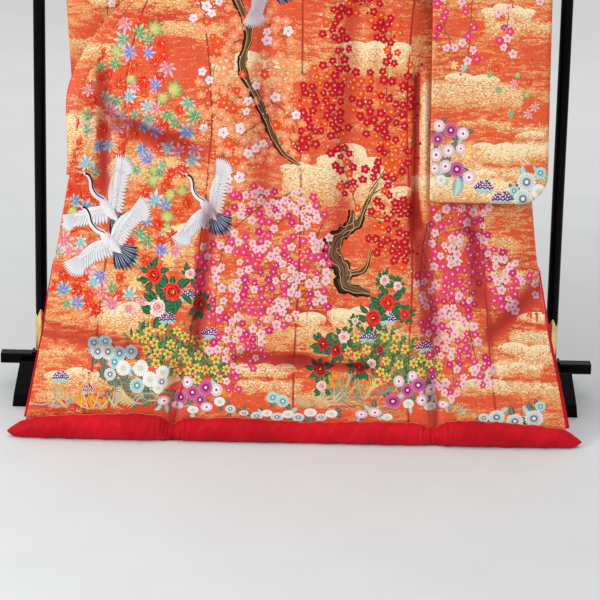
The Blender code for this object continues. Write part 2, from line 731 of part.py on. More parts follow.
def add_stand(lacquer, brass):
    bar_centre = (0, 0, (BAR_TOP + BAR_BOTTOM) / 2)
    bar_size = (2 * BAR_HALF_LENGTH, BAR_DEPTH, BAR_TOP - BAR_BOTTOM)
    block("lower_bar", bar_size, bar_centre, lacquer)
    plinth_top = BAR_TOP + FIT_GAP + PLINTH_HEIGHT
    post_bottom = plinth_top + FIT_GAP
    post_top = POLE_HEIGHT - 0.0005 - SADDLE_SIZE[2] - FIT_GAP
    for side, word in ((-1, "left"), (1, "right")):
        add_foot(side, word, lacquer)
        plinth_centre = (side * POST_OUT, 0, plinth_top - PLINTH_HEIGHT / 2)
        plinth_size = (PLINTH_LENGTH, BAR_DEPTH - 0.002, PLINTH_HEIGHT)
        block(f"plinth_{word}", plinth_size, plinth_centre, lacquer, bevel=0.001)
        centre = (side * POST_OUT, 0, (post_top + post_bottom) / 2)
        rod(f"post_{word}", POST_RADIUS, post_top - post_bottom, centre, lacquer)
        add_socket(side, word, post_bottom, brass)
        add_saddle(side, word, brass)
        cap_x = side * (POLE_HALF_LENGTH + FIT_GAP + POLE_CAP_LENGTH / 2)
        rod(
            f"pole_cap_{word}", POLE_RADIUS + 0.0025, POLE_CAP_LENGTH,
            (cap_x, 0, POLE_HEIGHT), brass, along="x", bevel=0.003,
        )
    rod("pole", POLE_RADIUS, 2 * POLE_HALF_LENGTH, (0, 0, POLE_HEIGHT), lacquer, along="x")


clear_scene()
parts = bpy.data.collections.new(NAME)
bpy.context.scene.collection.children.link(parts)
cutters = bpy.data.collections.new("cutters")
bpy.context.scene.collection.children.link(cutters)

brocade = material("brocade", (0.66, 0.10, 0.045), 0.55)
overlap_brocade = material("overlap_brocade", (0.62, 0.12, 0.05), 0.55)
collar_brocade = material("collar_brocade", (0.60, 0.13, 0.05), 0.55)
sleeve_brocade = material("sleeve_brocade", (0.68, 0.16, 0.06), 0.55)
crimson_silk = material("crimson_silk", (0.62, 0.010, 0.022), 0.45)
black_lacquer = material("black_lacquer", (0.008, 0.008, 0.009), 0.25)
gilt_brass = material("gilt_brass", (0.72, 0.50, 0.20), 0.30, 1.0)

add_backs(brocade)
add_fronts(brocade, overlap_brocade)
add_collars(collar_brocade)
add_sleeves(sleeve_brocade)
add_hem_roll(crimson_silk)
add_edge_rolls(crimson_silk)
add_stand(black_lacquer, gilt_brass)
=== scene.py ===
import cmath
import random
from math import cos, hypot, pi, radians, sin, sqrt

import bpy
import numpy as np
from mathutils import Matrix, Vector
from mathutils.bvhtree import BVHTree


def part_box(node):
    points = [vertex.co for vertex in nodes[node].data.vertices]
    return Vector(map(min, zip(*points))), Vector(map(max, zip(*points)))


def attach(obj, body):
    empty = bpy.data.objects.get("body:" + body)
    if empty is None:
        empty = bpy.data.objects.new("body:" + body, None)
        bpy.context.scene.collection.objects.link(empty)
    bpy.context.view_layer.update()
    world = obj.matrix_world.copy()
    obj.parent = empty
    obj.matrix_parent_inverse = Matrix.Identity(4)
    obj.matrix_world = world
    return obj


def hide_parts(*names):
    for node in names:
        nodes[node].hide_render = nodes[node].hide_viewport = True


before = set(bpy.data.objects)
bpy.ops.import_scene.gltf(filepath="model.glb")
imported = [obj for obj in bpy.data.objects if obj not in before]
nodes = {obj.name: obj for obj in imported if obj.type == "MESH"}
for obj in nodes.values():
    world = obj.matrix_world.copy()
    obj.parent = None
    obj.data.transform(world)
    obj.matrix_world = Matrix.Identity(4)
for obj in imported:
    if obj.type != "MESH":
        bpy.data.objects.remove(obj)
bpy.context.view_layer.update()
print("frame in,", len(nodes), "nodes")

# the posts stand here, and every table below is measured from their plane
postLow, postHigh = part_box("post_left")
postPlane = (postLow.y + postHigh.y) / 2
poleLow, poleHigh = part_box("pole")
poleHeight = (poleLow.z + poleHigh.z) / 2
poleRadius = (poleHigh.z - poleLow.z) / 2

scene = bpy.context.scene
scene.view_settings.view_transform = "Standard"
garment = bpy.data.collections.new("kimono")
stand = bpy.data.collections.new("kimono stand")
for group in (garment, stand):
    scene.collection.children.link(group)


# the finishes: silks, lacquer and brass

def inLinear(red, green, blue):
    # a colour given from 0 to 255 as a swatch reads, in the values that a shader takes
    return tuple(((c / 255 + 0.055) / 1.055) ** 2.4 if c > 10 else c / 3294.6
                 for c in (red, green, blue))


silkColours = {
    "vermilion": (227, 86, 45), "deepRed": (192, 40, 25), "gold": (230, 172, 104),
    "brightGold": (248, 228, 184), "oldGold": (218, 128, 66), "shadow": (148, 8, 18),
    "crimson": (218, 16, 37), "crimsonShade": (184, 6, 25), "seamShade": (96, 2, 12),
}
silk = {name: inLinear(*rgb) for name, rgb in silkColours.items()}


def newMaterial(name, roughness, sheen=0.0, metallic=0.0, specular=0.5):
    made = bpy.data.materials.new(name)
    made.use_nodes = True
    shader = made.node_tree.nodes["Principled BSDF"]
    for socket, value in (("Roughness", roughness), ("Metallic", metallic), ("Sheen Weight", sheen),
                          ("Sheen Roughness", 0.45), ("Specular IOR Level", specular)):
        shader.inputs[socket].default_value = value
    return made, made.node_tree, shader


def node(tree, kind, **settings):
    made = tree.nodes.new("ShaderNode" + kind)
    for name, value in settings.items():
        if hasattr(made, name):
            setattr(made, name, value)
        else:
            made.inputs[name.replace("_", " ")].default_value = value
    return made


def noiseOf(tree, stretch, detail, roughness=0.55, distortion=0.0):
    # noise in object space, its grain given as counts a metre along x, y and z
    place = node(tree, "TexCoord")
    mapping = node(tree, "Mapping")
    mapping.inputs["Scale"].default_value = stretch
    noise = node(tree, "TexNoise", Scale=1.0, Detail=detail, Roughness=roughness,
                 Distortion=distortion)
    tree.links.new(place.outputs["Object"], mapping.inputs["Vector"])
    tree.links.new(mapping.outputs["Vector"], noise.inputs["Vector"])
    return noise.outputs["Fac"]


def mapped(tree, value, low, high, toLow=0.0, toHigh=1.0):
    made = node(tree, "MapRange")
    made.interpolation_type = "SMOOTHSTEP"
    for name, number in (("From Min", low), ("From Max", high), ("To Min", toLow), ("To Max", toHigh)):
        made.inputs[name].default_value = number
    tree.links.new(value, made.inputs["Value"])
    return made.outputs["Result"]


def sums(tree, first, second):
    made = node(tree, "Math", operation="ADD")
    for socket, value in zip(made.inputs, (first, second)):
        if isinstance(value, (int, float)):
            socket.default_value = value
        else:
            tree.links.new(value, socket)
    return made.outputs[0]


def blended(tree, share, first, second, way="MIX"):
    made = node(tree, "Mix")
    made.data_type = "RGBA"
    made.blend_type = way
    for socket, value in ((made.inputs[0], share), (made.inputs[6], first), (made.inputs[7], second)):
        if isinstance(value, tuple):
            socket.default_value = (*value, 1.0)
        elif isinstance(value, float):
            socket.default_value = value
        else:
            tree.links.new(value, socket)
    return made.outputs[2]


def attribute(tree, name, output="Fac"):
    return node(tree, "Attribute", attribute_name=name).outputs[output]


def bumped(tree, shader, height, strength, distance):
    made = node(tree, "Bump", Strength=strength, Distance=distance)
    tree.links.new(height, made.inputs["Height"])
    feed(shader, "Normal", made.outputs["Normal"])


def feed(shader, name, value):
    shader.id_data.links.new(value, shader.inputs[name])


brocadeLook = {
    "mist": (2.2, 2.2, 8.0),         # bands of gold mist: counts a metre
    "streaks": (26.0, 26.0, 120.0),  # drifts along the weft inside a band
    "grain": (210.0, 210.0, 640.0),  # the gold weft's specks
    "goldFrom": 0.94, "goldTo": 1.07,
    "weave": (900.0, 900.0, 1500.0),
    "sheen": 0.04,
}


def brocade(name):
    # orange-red satin ground with gold weft in drifting specks
    look = brocadeLook
    made, tree, shader = newMaterial(name, 0.45, look["sheen"], specular=0.3)
    painted = attribute(tree, "gilt")
    shade = attribute(tree, "shade")
    mist = noiseOf(tree, look["mist"], 5.0, 0.62, 0.6)
    grain = noiseOf(tree, look["grain"], 2.0, 0.62)
    streaks = noiseOf(tree, look["streaks"], 4.0, 0.62, 0.3)
    wash = noiseOf(tree, (2.0, 2.0, 3.2), 2.0)
    ground = blended(tree, mapped(tree, wash, 0.26, 0.52), silk["deepRed"], silk["vermilion"])
    warp = mapped(tree, noiseOf(tree, (300.0, 300.0, 120.0), 2.0), 0.50, 0.68, 0.0, 0.55)
    ground = blended(tree, warp, ground, silk["deepRed"])
    density = sums(tree, mapped(tree, mist, 0.36, 0.66, 0.31, 0.55), painted)
    density = sums(tree, density, mapped(tree, streaks, 0.28, 0.72, -0.17, 0.20))
    density = sums(tree, density, mapped(tree, shade, 0.2, 0.8, 0.0, -0.30))
    gold = mapped(tree, sums(tree, grain, density), look["goldFrom"], look["goldTo"])
    # gold specks by chance, and more where gold lies thick, are painted paler: partly the gold thread's own
    # paler tone, partly a painted glint of light on it
    glitter = noiseOf(tree, (160.0, 160.0, 540.0), 1.0)
    goldTone = blended(tree, mapped(tree, glitter, 0.36, 0.56), silk["oldGold"], silk["gold"])
    paintedGlint = sums(tree, glitter, mapped(tree, painted, 0.0, 1.0, 0.0, 0.28))
    goldTone = blended(tree, mapped(tree, paintedGlint, 0.56, 0.72), goldTone, silk["brightGold"])
    colour = blended(tree, gold, ground, goldTone)
    colour = blended(tree, mapped(tree, shade, 0.0, 1.0, 0.0, 0.8), colour, silk["shadow"])
    feed(shader, "Base Color", colour)
    feed(shader, "Roughness", mapped(tree, gold, 0.0, 1.0, 0.48, 0.32))
    bumped(tree, shader, noiseOf(tree, look["weave"], 1.0), 0.10, 0.0004)
    return made


def crimsonSilk(name, sheen, cloudy=1.0):
    # plain silk of the lining and of the padded rolls, darker along its seams
    made, tree, shader = newMaterial(name, 0.5, sheen, specular=0.12)
    shader.inputs["Sheen Tint"].default_value = (1.0, 0.35, 0.35, 1.0)
    tone = mapped(tree, noiseOf(tree, (7.0, 7.0, 9.0), 3.0), 0.35, 0.68, 1 - cloudy)
    thread = mapped(tree, noiseOf(tree, (60.0, 420.0, 420.0), 2.0), 0.3, 0.7, 0.0, 0.35)
    colour = blended(tree, tone, silk["crimsonShade"], silk["crimson"])
    colour = blended(tree, thread, colour, silk["crimsonShade"])
    seam = mapped(tree, attribute(tree, "seam"), 0.25, 0.9, 0.0, 0.7)
    colour = blended(tree, seam, colour, silk["seamShade"])
    feed(shader, "Base Color", colour)
    feed(shader, "Roughness", mapped(tree, tone, 0.0, 1.0, 0.56, 0.44))
    bumped(tree, shader, noiseOf(tree, (500.0, 1200.0, 1200.0), 2.0), 0.12, 0.0004)
    return made


def threadWork(name):
    # printed and embroidered figures: each has its own colour, crossed by brighter and darker silk threads
    made, tree, shader = newMaterial(name, 0.5, specular=0.12)
    tint = attribute(tree, "tint", "Color")
    thread = mapped(tree, noiseOf(tree, (420.0, 420.0, 900.0), 2.0), 0.32, 0.68)
    colour = blended(tree, thread, tint, (1.04, 1.0, 0.97), "MULTIPLY")
    fleck = mapped(tree, noiseOf(tree, (260.0, 260.0, 300.0), 1.0), 0.54, 0.72, 0.0, 0.35)
    colour = blended(tree, fleck, colour, (0.62, 0.50, 0.48), "MULTIPLY")
    feed(shader, "Base Color", colour)
    feed(shader, "Roughness", mapped(tree, thread, 0.0, 1.0, 0.62, 0.46))
    bumped(tree, shader, noiseOf(tree, (700.0, 700.0, 1500.0), 1.0), 0.15, 0.0004)
    return made


def lacquer(name):
    made, tree, shader = newMaterial(name, 0.22, specular=0.06)
    cloudy = noiseOf(tree, (6.0, 6.0, 6.0), 4.0)
    colour = blended(tree, mapped(tree, cloudy, 0.35, 0.7), inLinear(2, 2, 3), inLinear(7, 6, 7))
    dust = mapped(tree, noiseOf(tree, (90.0, 90.0, 90.0), 3.0), 0.62, 0.78, 0.0, 0.4)
    colour = blended(tree, dust, colour, inLinear(20, 19, 19))
    feed(shader, "Base Color", colour)
    feed(shader, "Roughness", mapped(tree, cloudy, 0.3, 0.7, 0.16, 0.26))
    shader.inputs["Coat Weight"].default_value = 0.03
    shader.inputs["Coat Roughness"].default_value = 0.12
    return made


def giltBrass(name):
    made, tree, shader = newMaterial(name, 0.3, 0.0, 1.0)
    tarnish = mapped(tree, noiseOf(tree, (34.0, 34.0, 20.0), 4.0), 0.4, 0.72)
    colour = blended(tree, tarnish, inLinear(255, 222, 156), inLinear(232, 180, 106))
    feed(shader, "Base Color", colour)
    feed(shader, "Roughness", mapped(tree, tarnish, 0.0, 1.0, 0.26, 0.42))
    return made


bodyBrocade, overlapBrocade, collarBrocade, sleeveBrocade = (
    brocade(part + "Brocade") for part in ("body", "overlap", "collar", "sleeve"))
lining = crimsonSilk("crimsonLining", 0.05, 0.35)
rollSilk = crimsonSilk("crimsonRollSilk", 0.06)
figures = threadWork("silkFigures")
blackLacquer = lacquer("blackLacquer")
brass = giltBrass("giltBrass")
print("finishes mixed")


def metres(*millimetres):
    return [size / 1000 for size in millimetres]


def table(columns, *rows):
    # rows are written in millimetres, and shares in thousandths
    return (columns, *(metres(*row) for row in rows))


# the cloth's form, in metres from the posts' plane
cloth = {
    "wall": 0.0026, "seamGap": -0.0004, "hem": 0.066, "hemTuck": 0.0035,
    "hemForward": 0.390, "hemFade": 0.8, "flare": 1.6, "rollY": -0.425, "slit": 1.38,
    "neckDrop": 1.742, "neckHalfWidth": 0.105, "collarEnd": 0.735, "okumiTop": 1.34,
    "sleeveFloor": 0.690, "sleeveWidth": 0.346, "sleeveCorner": 0.085, "cuffFloor": 1.49,
    "seamDip": 0.0016, "seamReach": 0.0036, "seamStop": 0.03, "rippleHeight": 0.0008,
    "backFoldTop": 1.62, "frontFoldTop": 1.25, "hemFadeTop": 0.18, "hemLiftTop": 0.14,
    "neckRound": 0.026, "gatherHeight": 1.34, "gatherReach": 0.13,
    "sleeveEdge": 0.012, "sleeveWave": 0.006, "collarFullness": 0.0012,
}
wrap = poleRadius + 0.002 + 0.0015  # the bend's radius where cloth goes over the pole
overPole = wrap * pi / 2 - cloth["seamGap"] / 2  # the way from the pole's axis up to its crest

# out from the middle: side seam and front edge; shares between them: overlap and collar seams
frontColumns = ("height", "side", "okumi", "collar", "edge", "behind")
leftFront = table(
    frontColumns,
    (66, 358, 604, 1000, 792, 0),
    (180, 326, 625, 1000, 767, 0),
    (300, 310, 634, 1000, 745, 0),
    (420, 300, 640, 1000, 729, 1),
    (540, 290, 640, 1000, 709, 3),
    (660, 276, 625, 1000, 690, 5),
    (780, 267, 605, 965, 685, 8),
    (880, 260, 590, 930, 689, 11),
    (970, 263, 600, 905, 688, 15),
    (1060, 270, 615, 885, 655, 17),
    (1180, 288, 660, 875, 573, 17),
    (1300, 316, 760, 870, 452, 18),
    (1380, 335, 835, 865, 352, 28),
    (1460, 355, 856, 862, 262, 92),
    (1560, 366, 858, 860, 175, 87),
    (1650, 369, 860, 860, 115, 69),
    (1750, 370, 860, 860, 62, 46),
)
rightFront = table(
    frontColumns,
    (66, 335, 561, 1000, 800, 0),
    (180, 333, 563, 1000, 772, 0),
    (300, 334, 567, 1000, 743, 0),
    (420, 338, 571, 1000, 721, 1),
    (540, 336, 575, 1000, 701, 3),
    (660, 328, 580, 1000, 688, 7),
    (780, 319, 585, 965, 686, 20),
    (880, 313, 590, 930, 690, 38),
    (970, 312, 600, 905, 688, 62),
    (1060, 314, 615, 885, 650, 92),
    (1180, 320, 660, 875, 560, 127),
    (1300, 331, 760, 870, 435, 150),
    (1380, 343, 835, 865, 347, 153),
    (1460, 357, 856, 862, 265, 137),
    (1560, 366, 858, 860, 175, 102),
    (1650, 369, 860, 860, 115, 69),
    (1750, 370, 860, 860, 62, 46),
)
fronts = {-1: leftFront, 1: rightFront}
centreSeam = table(
    ("height", "out"),
    (66, -5), (180, -6), (366, 0), (475, 5),
    (880, 3), (1300, 0), (1750, 0),
)
frontShoulder = table(
    ("height", "depth"),
    (1380, -53.7), (1480, 12), (1620, 20), (1750, 1000 * wrap),
)
# depths of a sleeve's two layers, and its edges out from the middle
sleeveColumns = ("height", "viewer", "far", "inner", "outer")
sleeves = {
    -1: table(
        sleeveColumns,
        (690, -10, 14, 320, 666),
        (900, -9, 15, 333, 679),
        (1100, -8, 16, 345, 691),
        (1300, -6, 17, 360, 703),
        (1400, -8, 17, 368, 708),
        (1480, -40, 12, 364, 713),
        (1620, -25.4, 20, 370.5, 721),
        (1750, -1000 * wrap, 1000 * wrap, 371, 728),
    ),
    1: table(
        sleeveColumns,
        (690, -256, -232, 382, 727),
        (900, -192, -168, 381, 727),
        (1100, -136, -112, 380, 727.5),
        (1300, -86, -58, 377, 728),
        (1480, -40, 12, 364, 728),
        (1620, -25.4, 20, 370.5, 728),
        (1750, -1000 * wrap, 1000 * wrap, 371, 728),
    ),
}
# folds and creases in millimetres: from x and z to x and z, half width, depth of the trough
mainFolds = (
    (-262, 620, -290, 280, 22, 16), (-745, 340, -490, 290, 20, -8), (-750, 290, -470, 240, 22, 10),
    (-520, 880, -330, 810, 34, 13), (-585, 1000, -575, 720, 26, 14), (-645, 1000, -655, 760, 28, -8),
    (340, 1020, 344, 600, 12, 18), (367, 1020, 370, 640, 11, -11), (350, 620, 400, 320, 30, 17),
    (510, 620, 540, 420, 28, 12), (590, 320, 735, 460, 30, 13), (-150, 237, 20, 226, 19, 11),
    (0, 226, 200, 204, 12, 10), (-130, 1400, -105, 700, 45, 9), (150, 1350, 125, 600, 40, 9),
    (-354, 180, -359, 60, 24, 10), (402, 160, 411, 60, 18, 13), (372, 160, 377, 60, 18, -7),
)
fineCreases = (
    # left front: the tuck's sharp lip, the sag between the arms and what radiates from it
    (-760, 336, -610, 305, 6, -5.5), (-610, 305, -455, 272, 7, -4.2), (-740, 321, -480, 265, 6, 5.5),
    (-500, 880, -395, 842, 9, 3.2), (-395, 842, -270, 872, 9, 2.8), (-480, 912, -300, 905, 10, -2.2),
    (-560, 960, -470, 700, 10, 1.8), (-690, 860, -640, 660, 11, 2), (-470, 790, -350, 700, 12, 1.5),
    (-420, 560, -330, 470, 12, 1.6), (-640, 520, -560, 380, 14, -1.6), (-690, 220, -560, 160, 10, 1.8),
    (-540, 200, -400, 150, 11, -1.6),
    # back, left length
    (-300, 300, -255, 180, 11, 2), (-235, 560, -215, 320, 13, -1.8), (-180, 222, -20, 206, 12, 2.8),
    (-20, 206, 215, 214, 12, 3.2), (-150, 248, 120, 240, 10, -1.8), (-100, 480, -60, 300, 14, 1.4),
    (-80, 980, -50, 740, 14, 1.4), (-210, 1180, -190, 900, 16, 1.8),
    # back, right length
    (60, 560, 80, 360, 14, 1.3), (230, 900, 250, 640, 14, 1.6), (200, 460, 270, 250, 14, -1.6),
    (130, 150, 300, 118, 10, 1.6), (240, 1300, 210, 1000, 16, 1.8),
    # right front: below the sleeve, and beside the overlap seam
    (392, 640, 375, 440, 9, 3), (420, 620, 470, 420, 10, -2.2), (372, 330, 385, 160, 10, 1.8),
    (470, 600, 640, 560, 12, 1.6), (560, 540, 690, 520, 11, 2), (560, 420, 585, 190, 10, 2.6),
    (530, 400, 545, 230, 10, -1.8), (600, 300, 720, 330, 11, -1.8), (640, 210, 740, 250, 12, 1.8),
    (430, 170, 520, 110, 10, 1.6),
    # puckers into the two drawn-in places of the hem
    (-335, 135, -352, 60, 6, 2.8), (-372, 140, -366, 60, 6, 2.6), (-395, 115, -384, 60, 7, -1.8),
    (-310, 110, -330, 60, 7, -1.6), (388, 130, 396, 60, 6, 3), (424, 140, 417, 60, 6, 3),
    (450, 110, 436, 60, 7, -2), (352, 105, 368, 60, 8, 1.6),
)
hemRoll = table(
    ("x", "radius"),
    (-845, 2.5), (-828, 15), (-800, 25), (-720, 32.5),
    (-560, 36.5), (-460, 38.5), (-395, 35.5), (-361, 25.5),
    (-325, 34), (-280, 33.5), (-170, 35), (-20, 31.5),
    (100, 31.5), (250, 33.5), (370, 31.5), (410, 26),
    (448, 36), (570, 36.5), (650, 34), (740, 30.5),
    (805, 24), (830, 14), (845, 2.5),
)
pinches = (-0.361, 0.410)
gathers = {-1: 0.0025, 1: 0.0065}


def follow(guide, name, at):
    # a smooth curve through one column of a table, read at places in its first column
    rows = np.array(guide[1:], float)
    places, values = rows[:, 0], rows[:, guide[0].index(name)]
    last = len(places) - 1
    at = np.clip(np.asarray(at, float), places[0], places[-1])
    i = np.clip(np.searchsorted(places, at, side="right") - 1, 0, last - 1)
    span = places[i + 1] - places[i]
    share = (at - places[i]) / span
    k = np.arange(last + 1)
    before, after = np.maximum(k - 1, 0), np.minimum(k + 1, last)
    slope = (values[after] - values[before]) / (places[after] - places[before])
    rise = values[i + 1] - values[i]
    start, end = slope[i] * span - rise, rise - slope[i + 1] * span
    return values[i] + rise * share + share * (1 - share) * (start * (1 - share) + end * share)


def capped(value):
    return np.clip(value, 0.0, 1.0)


def ease(value, low, high):
    share = capped((value - low) / (high - low))
    return share * share * (3 - 2 * share)


def lean(height):
    share = capped(1 - (height - cloth["hem"]) / (poleHeight - cloth["hem"]))
    return -wrap - cloth["hemForward"] * share ** cloth["flare"]


def troughs(folds, x, height):
    total = np.zeros(np.broadcast(x, height).shape)
    for fold in folds:
        fromX, fromZ, toX, toZ, halfWidth, depth = metres(*fold)
        runX, runZ = toX - fromX, toZ - fromZ
        length = hypot(runX, runZ)
        along = ((x - fromX) * runX + (height - fromZ) * runZ) / length
        across = ((x - fromX) * runZ - (height - fromZ) * runX) / length
        beyond = np.maximum(np.maximum(-along, along - length), 0.0)
        total += depth * np.exp(-(across / halfWidth) ** 2 - (beyond / (2 * halfWidth)) ** 2)
    return total


# slack of the cloth: waves a metre across and upwards, their start and their share of the ripple height
slackWaves = (
    (9.1, 1.7, 0.3, 1.0), (14.7, -2.3, 1.9, 0.8), (23.0, 3.1, 4.2, 0.5),
    (31.0, -4.7, 2.6, 0.35), (5.3, 6.1, 5.1, 0.7), (47.0, 9.0, 0.8, 0.2),
)


def ripples(x, height):
    # the small slack of hung silk: long and upright, a millimetre or less
    total = np.zeros(np.broadcast(x, height).shape)
    for countX, countZ, turn, size in slackWaves:
        total += size * np.sin(2 * pi * (countX * x + countZ * height) + turn)
    return cloth["rippleHeight"] * total


def rollRadius(x):
    radius = follow(hemRoll, "radius", x)
    for pinch in pinches:
        away = np.abs(x - pinch)
        wave = 0.5 - 0.5 * np.cos(2 * pi * away / (0.014 + 0.12 * away))
        radius = radius - 0.0022 * wave * capped(1 - away / 0.062)
    return radius


def hemLift(x, height):
    # the cloth ends a little inside the roll, deeper where the roll is gathered
    radius = rollRadius(x)
    forward = (lean(cloth["hem"]) - 0.003 - cloth["rollY"]) / np.maximum(radius, 0.015)
    surface = radius * (0.93 + 1.02 * np.sqrt(1 - forward * forward))
    tuck = cloth["hemTuck"]
    for pinch in pinches:
        tuck = tuck + 0.006 * capped(1 - np.abs(x - pinch) / 0.08)
    near = 1 - np.minimum((height - cloth["hem"]) / cloth["hemLiftTop"], 1.0)
    return (surface - tuck - cloth["hem"]) * near


def allFolds(x, height):
    return troughs(mainFolds, x, height) + troughs(fineCreases, x, height) + ripples(x, height)


def hemCalm(height):
    # folds lie flatter towards the hem, which the roll holds
    return 1 - cloth["hemFade"] * (1 - ease(height, cloth["hem"], cloth["hemFadeTop"]))


def backForm(side, share, level):
    # share 0 at the centre seam and 1 at the side seam; above the pole's axis the level is arc length
    height = np.minimum(level, poleHeight)
    inner = side * follow(centreSeam, "out", height) + cloth["seamGap"] / 2
    outer = follow(fronts[side], "side", height) - cloth["seamGap"] / 2
    turn = np.maximum(level - poleHeight, 0) / wrap
    arc = ease(level, cloth["neckDrop"], cloth["neckDrop"] + cloth["neckRound"])
    inner = np.where(level > cloth["neckDrop"], cloth["neckHalfWidth"] * arc ** 0.5 + cloth["seamGap"], inner)
    x = side * (inner + (outer - inner) * share)
    push = allFolds(x, height) * ease(cloth["backFoldTop"] - height, 0.0, 0.3) * hemCalm(height)
    y = np.where(level > poleHeight, -wrap * np.cos(turn), lean(height) + push)
    z = np.where(level > poleHeight, poleHeight + wrap * np.sin(turn), height + hemLift(x, height))
    return x, y, z


def frontForm(side, share, level):
    # share 0 at the side seam and 1 at the front edge
    front = fronts[side]
    height = np.minimum(level, poleHeight)
    turn = np.maximum(level - poleHeight, 0) / wrap
    startY = np.where(height > cloth["slit"], follow(frontShoulder, "depth", height), lean(height))
    startX = follow(front, "side", height)
    startX = startX + cloth["seamGap"] / 2 * np.where(height > cloth["slit"], -1, 1)
    endX = follow(front, "edge", height)
    endY = lean(height) + follow(front, "behind", height)
    acrossX, acrossY = endX - startX, endY - startY
    length = np.hypot(acrossX, acrossY)
    gather = gathers[side] * np.exp(-((height - cloth["gatherHeight"]) / cloth["gatherReach"]) ** 2)
    gather = gather * np.sin(pi * share) * np.sin(4 * pi * share)
    x = startX + acrossX * share + acrossY / length * gather
    y = startY + acrossY * share - acrossX / length * gather
    fade = ease(cloth["frontFoldTop"] - height, 0.0, 0.25) * hemCalm(height)
    y = y + allFolds(side * x, height) * fade
    yOver = startY * np.cos(turn) + (y - startY)
    x = side * x
    z = np.where(level > poleHeight, poleHeight + wrap * np.sin(turn), height + hemLift(x, height))
    return x, np.where(level > poleHeight, yOver, y), z


def seamShare(side, seam, level):
    if seam == "side":
        return np.zeros_like(level)
    return follow(fronts[side], seam, np.minimum(level, poleHeight))


def stripForm(side, share, level, first, last):
    # the strip of a front between two seams, a hair over each so that no light passes
    nearX, nearY, _ = frontForm(side, 0.0, level)
    farX, farY, _ = frontForm(side, 1.0, level)
    gap = 0.5 * cloth["seamGap"] / np.hypot(farX - nearX, farY - nearY)
    start = seamShare(side, first, level) + (0 if first == "side" else gap)
    end = seamShare(side, last, level) - gap
    return frontForm(side, start + (end - start) * share, level)


def sleeveForm(side, layer, share, rise):
    sleeve = sleeves[side]
    floorZ, corner = cloth["sleeveFloor"], cloth["sleeveCorner"]
    baseInner, baseOuter = (float(follow(sleeve, name, floorZ)) for name in ("inner", "outer"))
    into = np.clip(baseInner + (baseOuter - baseInner) * share - (baseOuter - corner), 0.0, corner)
    floor = floorZ + corner - np.sqrt(corner ** 2 - into ** 2)
    top = poleHeight - floorZ
    level = np.where(rise > 0.02, floor + rise * (poleHeight - floor) / top, floor + rise)
    level = np.where(rise > top, poleHeight + rise - top, level)
    height = np.minimum(level, poleHeight)
    inner, outer = follow(sleeve, "inner", height), follow(sleeve, "outer", height)
    near, far = follow(sleeve, "viewer", height), follow(sleeve, "far", height)
    x = inner + (outer - inner) * share
    turn = np.maximum(level - poleHeight, 0) / wrap
    middle, spread = (near + far) / 2, (far - near) / 2
    shut = ease(cloth["cuffFloor"] + 0.02 - height, 0.0, 0.04)
    edge = cloth["sleeveEdge"]
    fromFloor = np.minimum(level - floor, edge) / edge
    fromEdge = 1 - shut * (1 - np.minimum(outer - x, edge) / edge)
    closing = np.sqrt(capped(1 - (1 - np.minimum(fromFloor, fromEdge)) ** 2))
    least = cloth["seamGap"] / 2 + 0.0015
    spread = np.where(level > poleHeight, wrap * np.cos(turn), least + (spread - least) * closing)
    y = middle + (spread if layer == "far" else -spread)
    y = y + cloth["sleeveWave"] * np.sin(2 * pi * share) * ease(1.5 - height, 0.0, 0.5) * closing
    z = np.where(level > poleHeight, poleHeight + wrap * np.sin(turn), level)
    return side * x, y, z


def joinedUp(name, points, faces, finishes, collection):
    mesh = bpy.data.meshes.new(name)
    mesh.from_pydata([tuple(p) for p in points], [], faces)
    for finish in finishes:
        mesh.materials.append(finish)
    mesh.shade_smooth()
    made = bpy.data.objects.new(name, mesh)
    collection.objects.link(made)
    return made


def settled(made, slotName, *replaced, fill=None):
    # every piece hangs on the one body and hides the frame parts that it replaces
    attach(made, "root")
    if replaced:
        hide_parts(*replaced)
    return made


def ringFaces(rings, around, closed=False):
    # quads round a tube, and a face over each end where it is closed
    faces = []
    for r in range(rings - 1):
        for c in range(around):
            d = (c + 1) % around
            faces.append((r * around + c, r * around + d, (r + 1) * around + d, (r + 1) * around + c))
    if closed:
        last = (rings - 1) * around
        faces += [tuple(range(around))[::-1], tuple(range(last, last + around))]
    return faces


def gridFaces(rows, columns, flip=False):
    faces = []
    for r in range(rows - 1):
        for c in range(columns - 1):
            a = r * columns + c
            quad = (a, a + 1, a + columns + 1, a + columns)
            faces.append(quad[::-1] if flip else quad)
    return faces


def paint(obj, name, values):
    made = obj.data.attributes.new(name, "FLOAT", "POINT")
    made.data.foreach_set("value", np.asarray(values, np.float32).ravel())
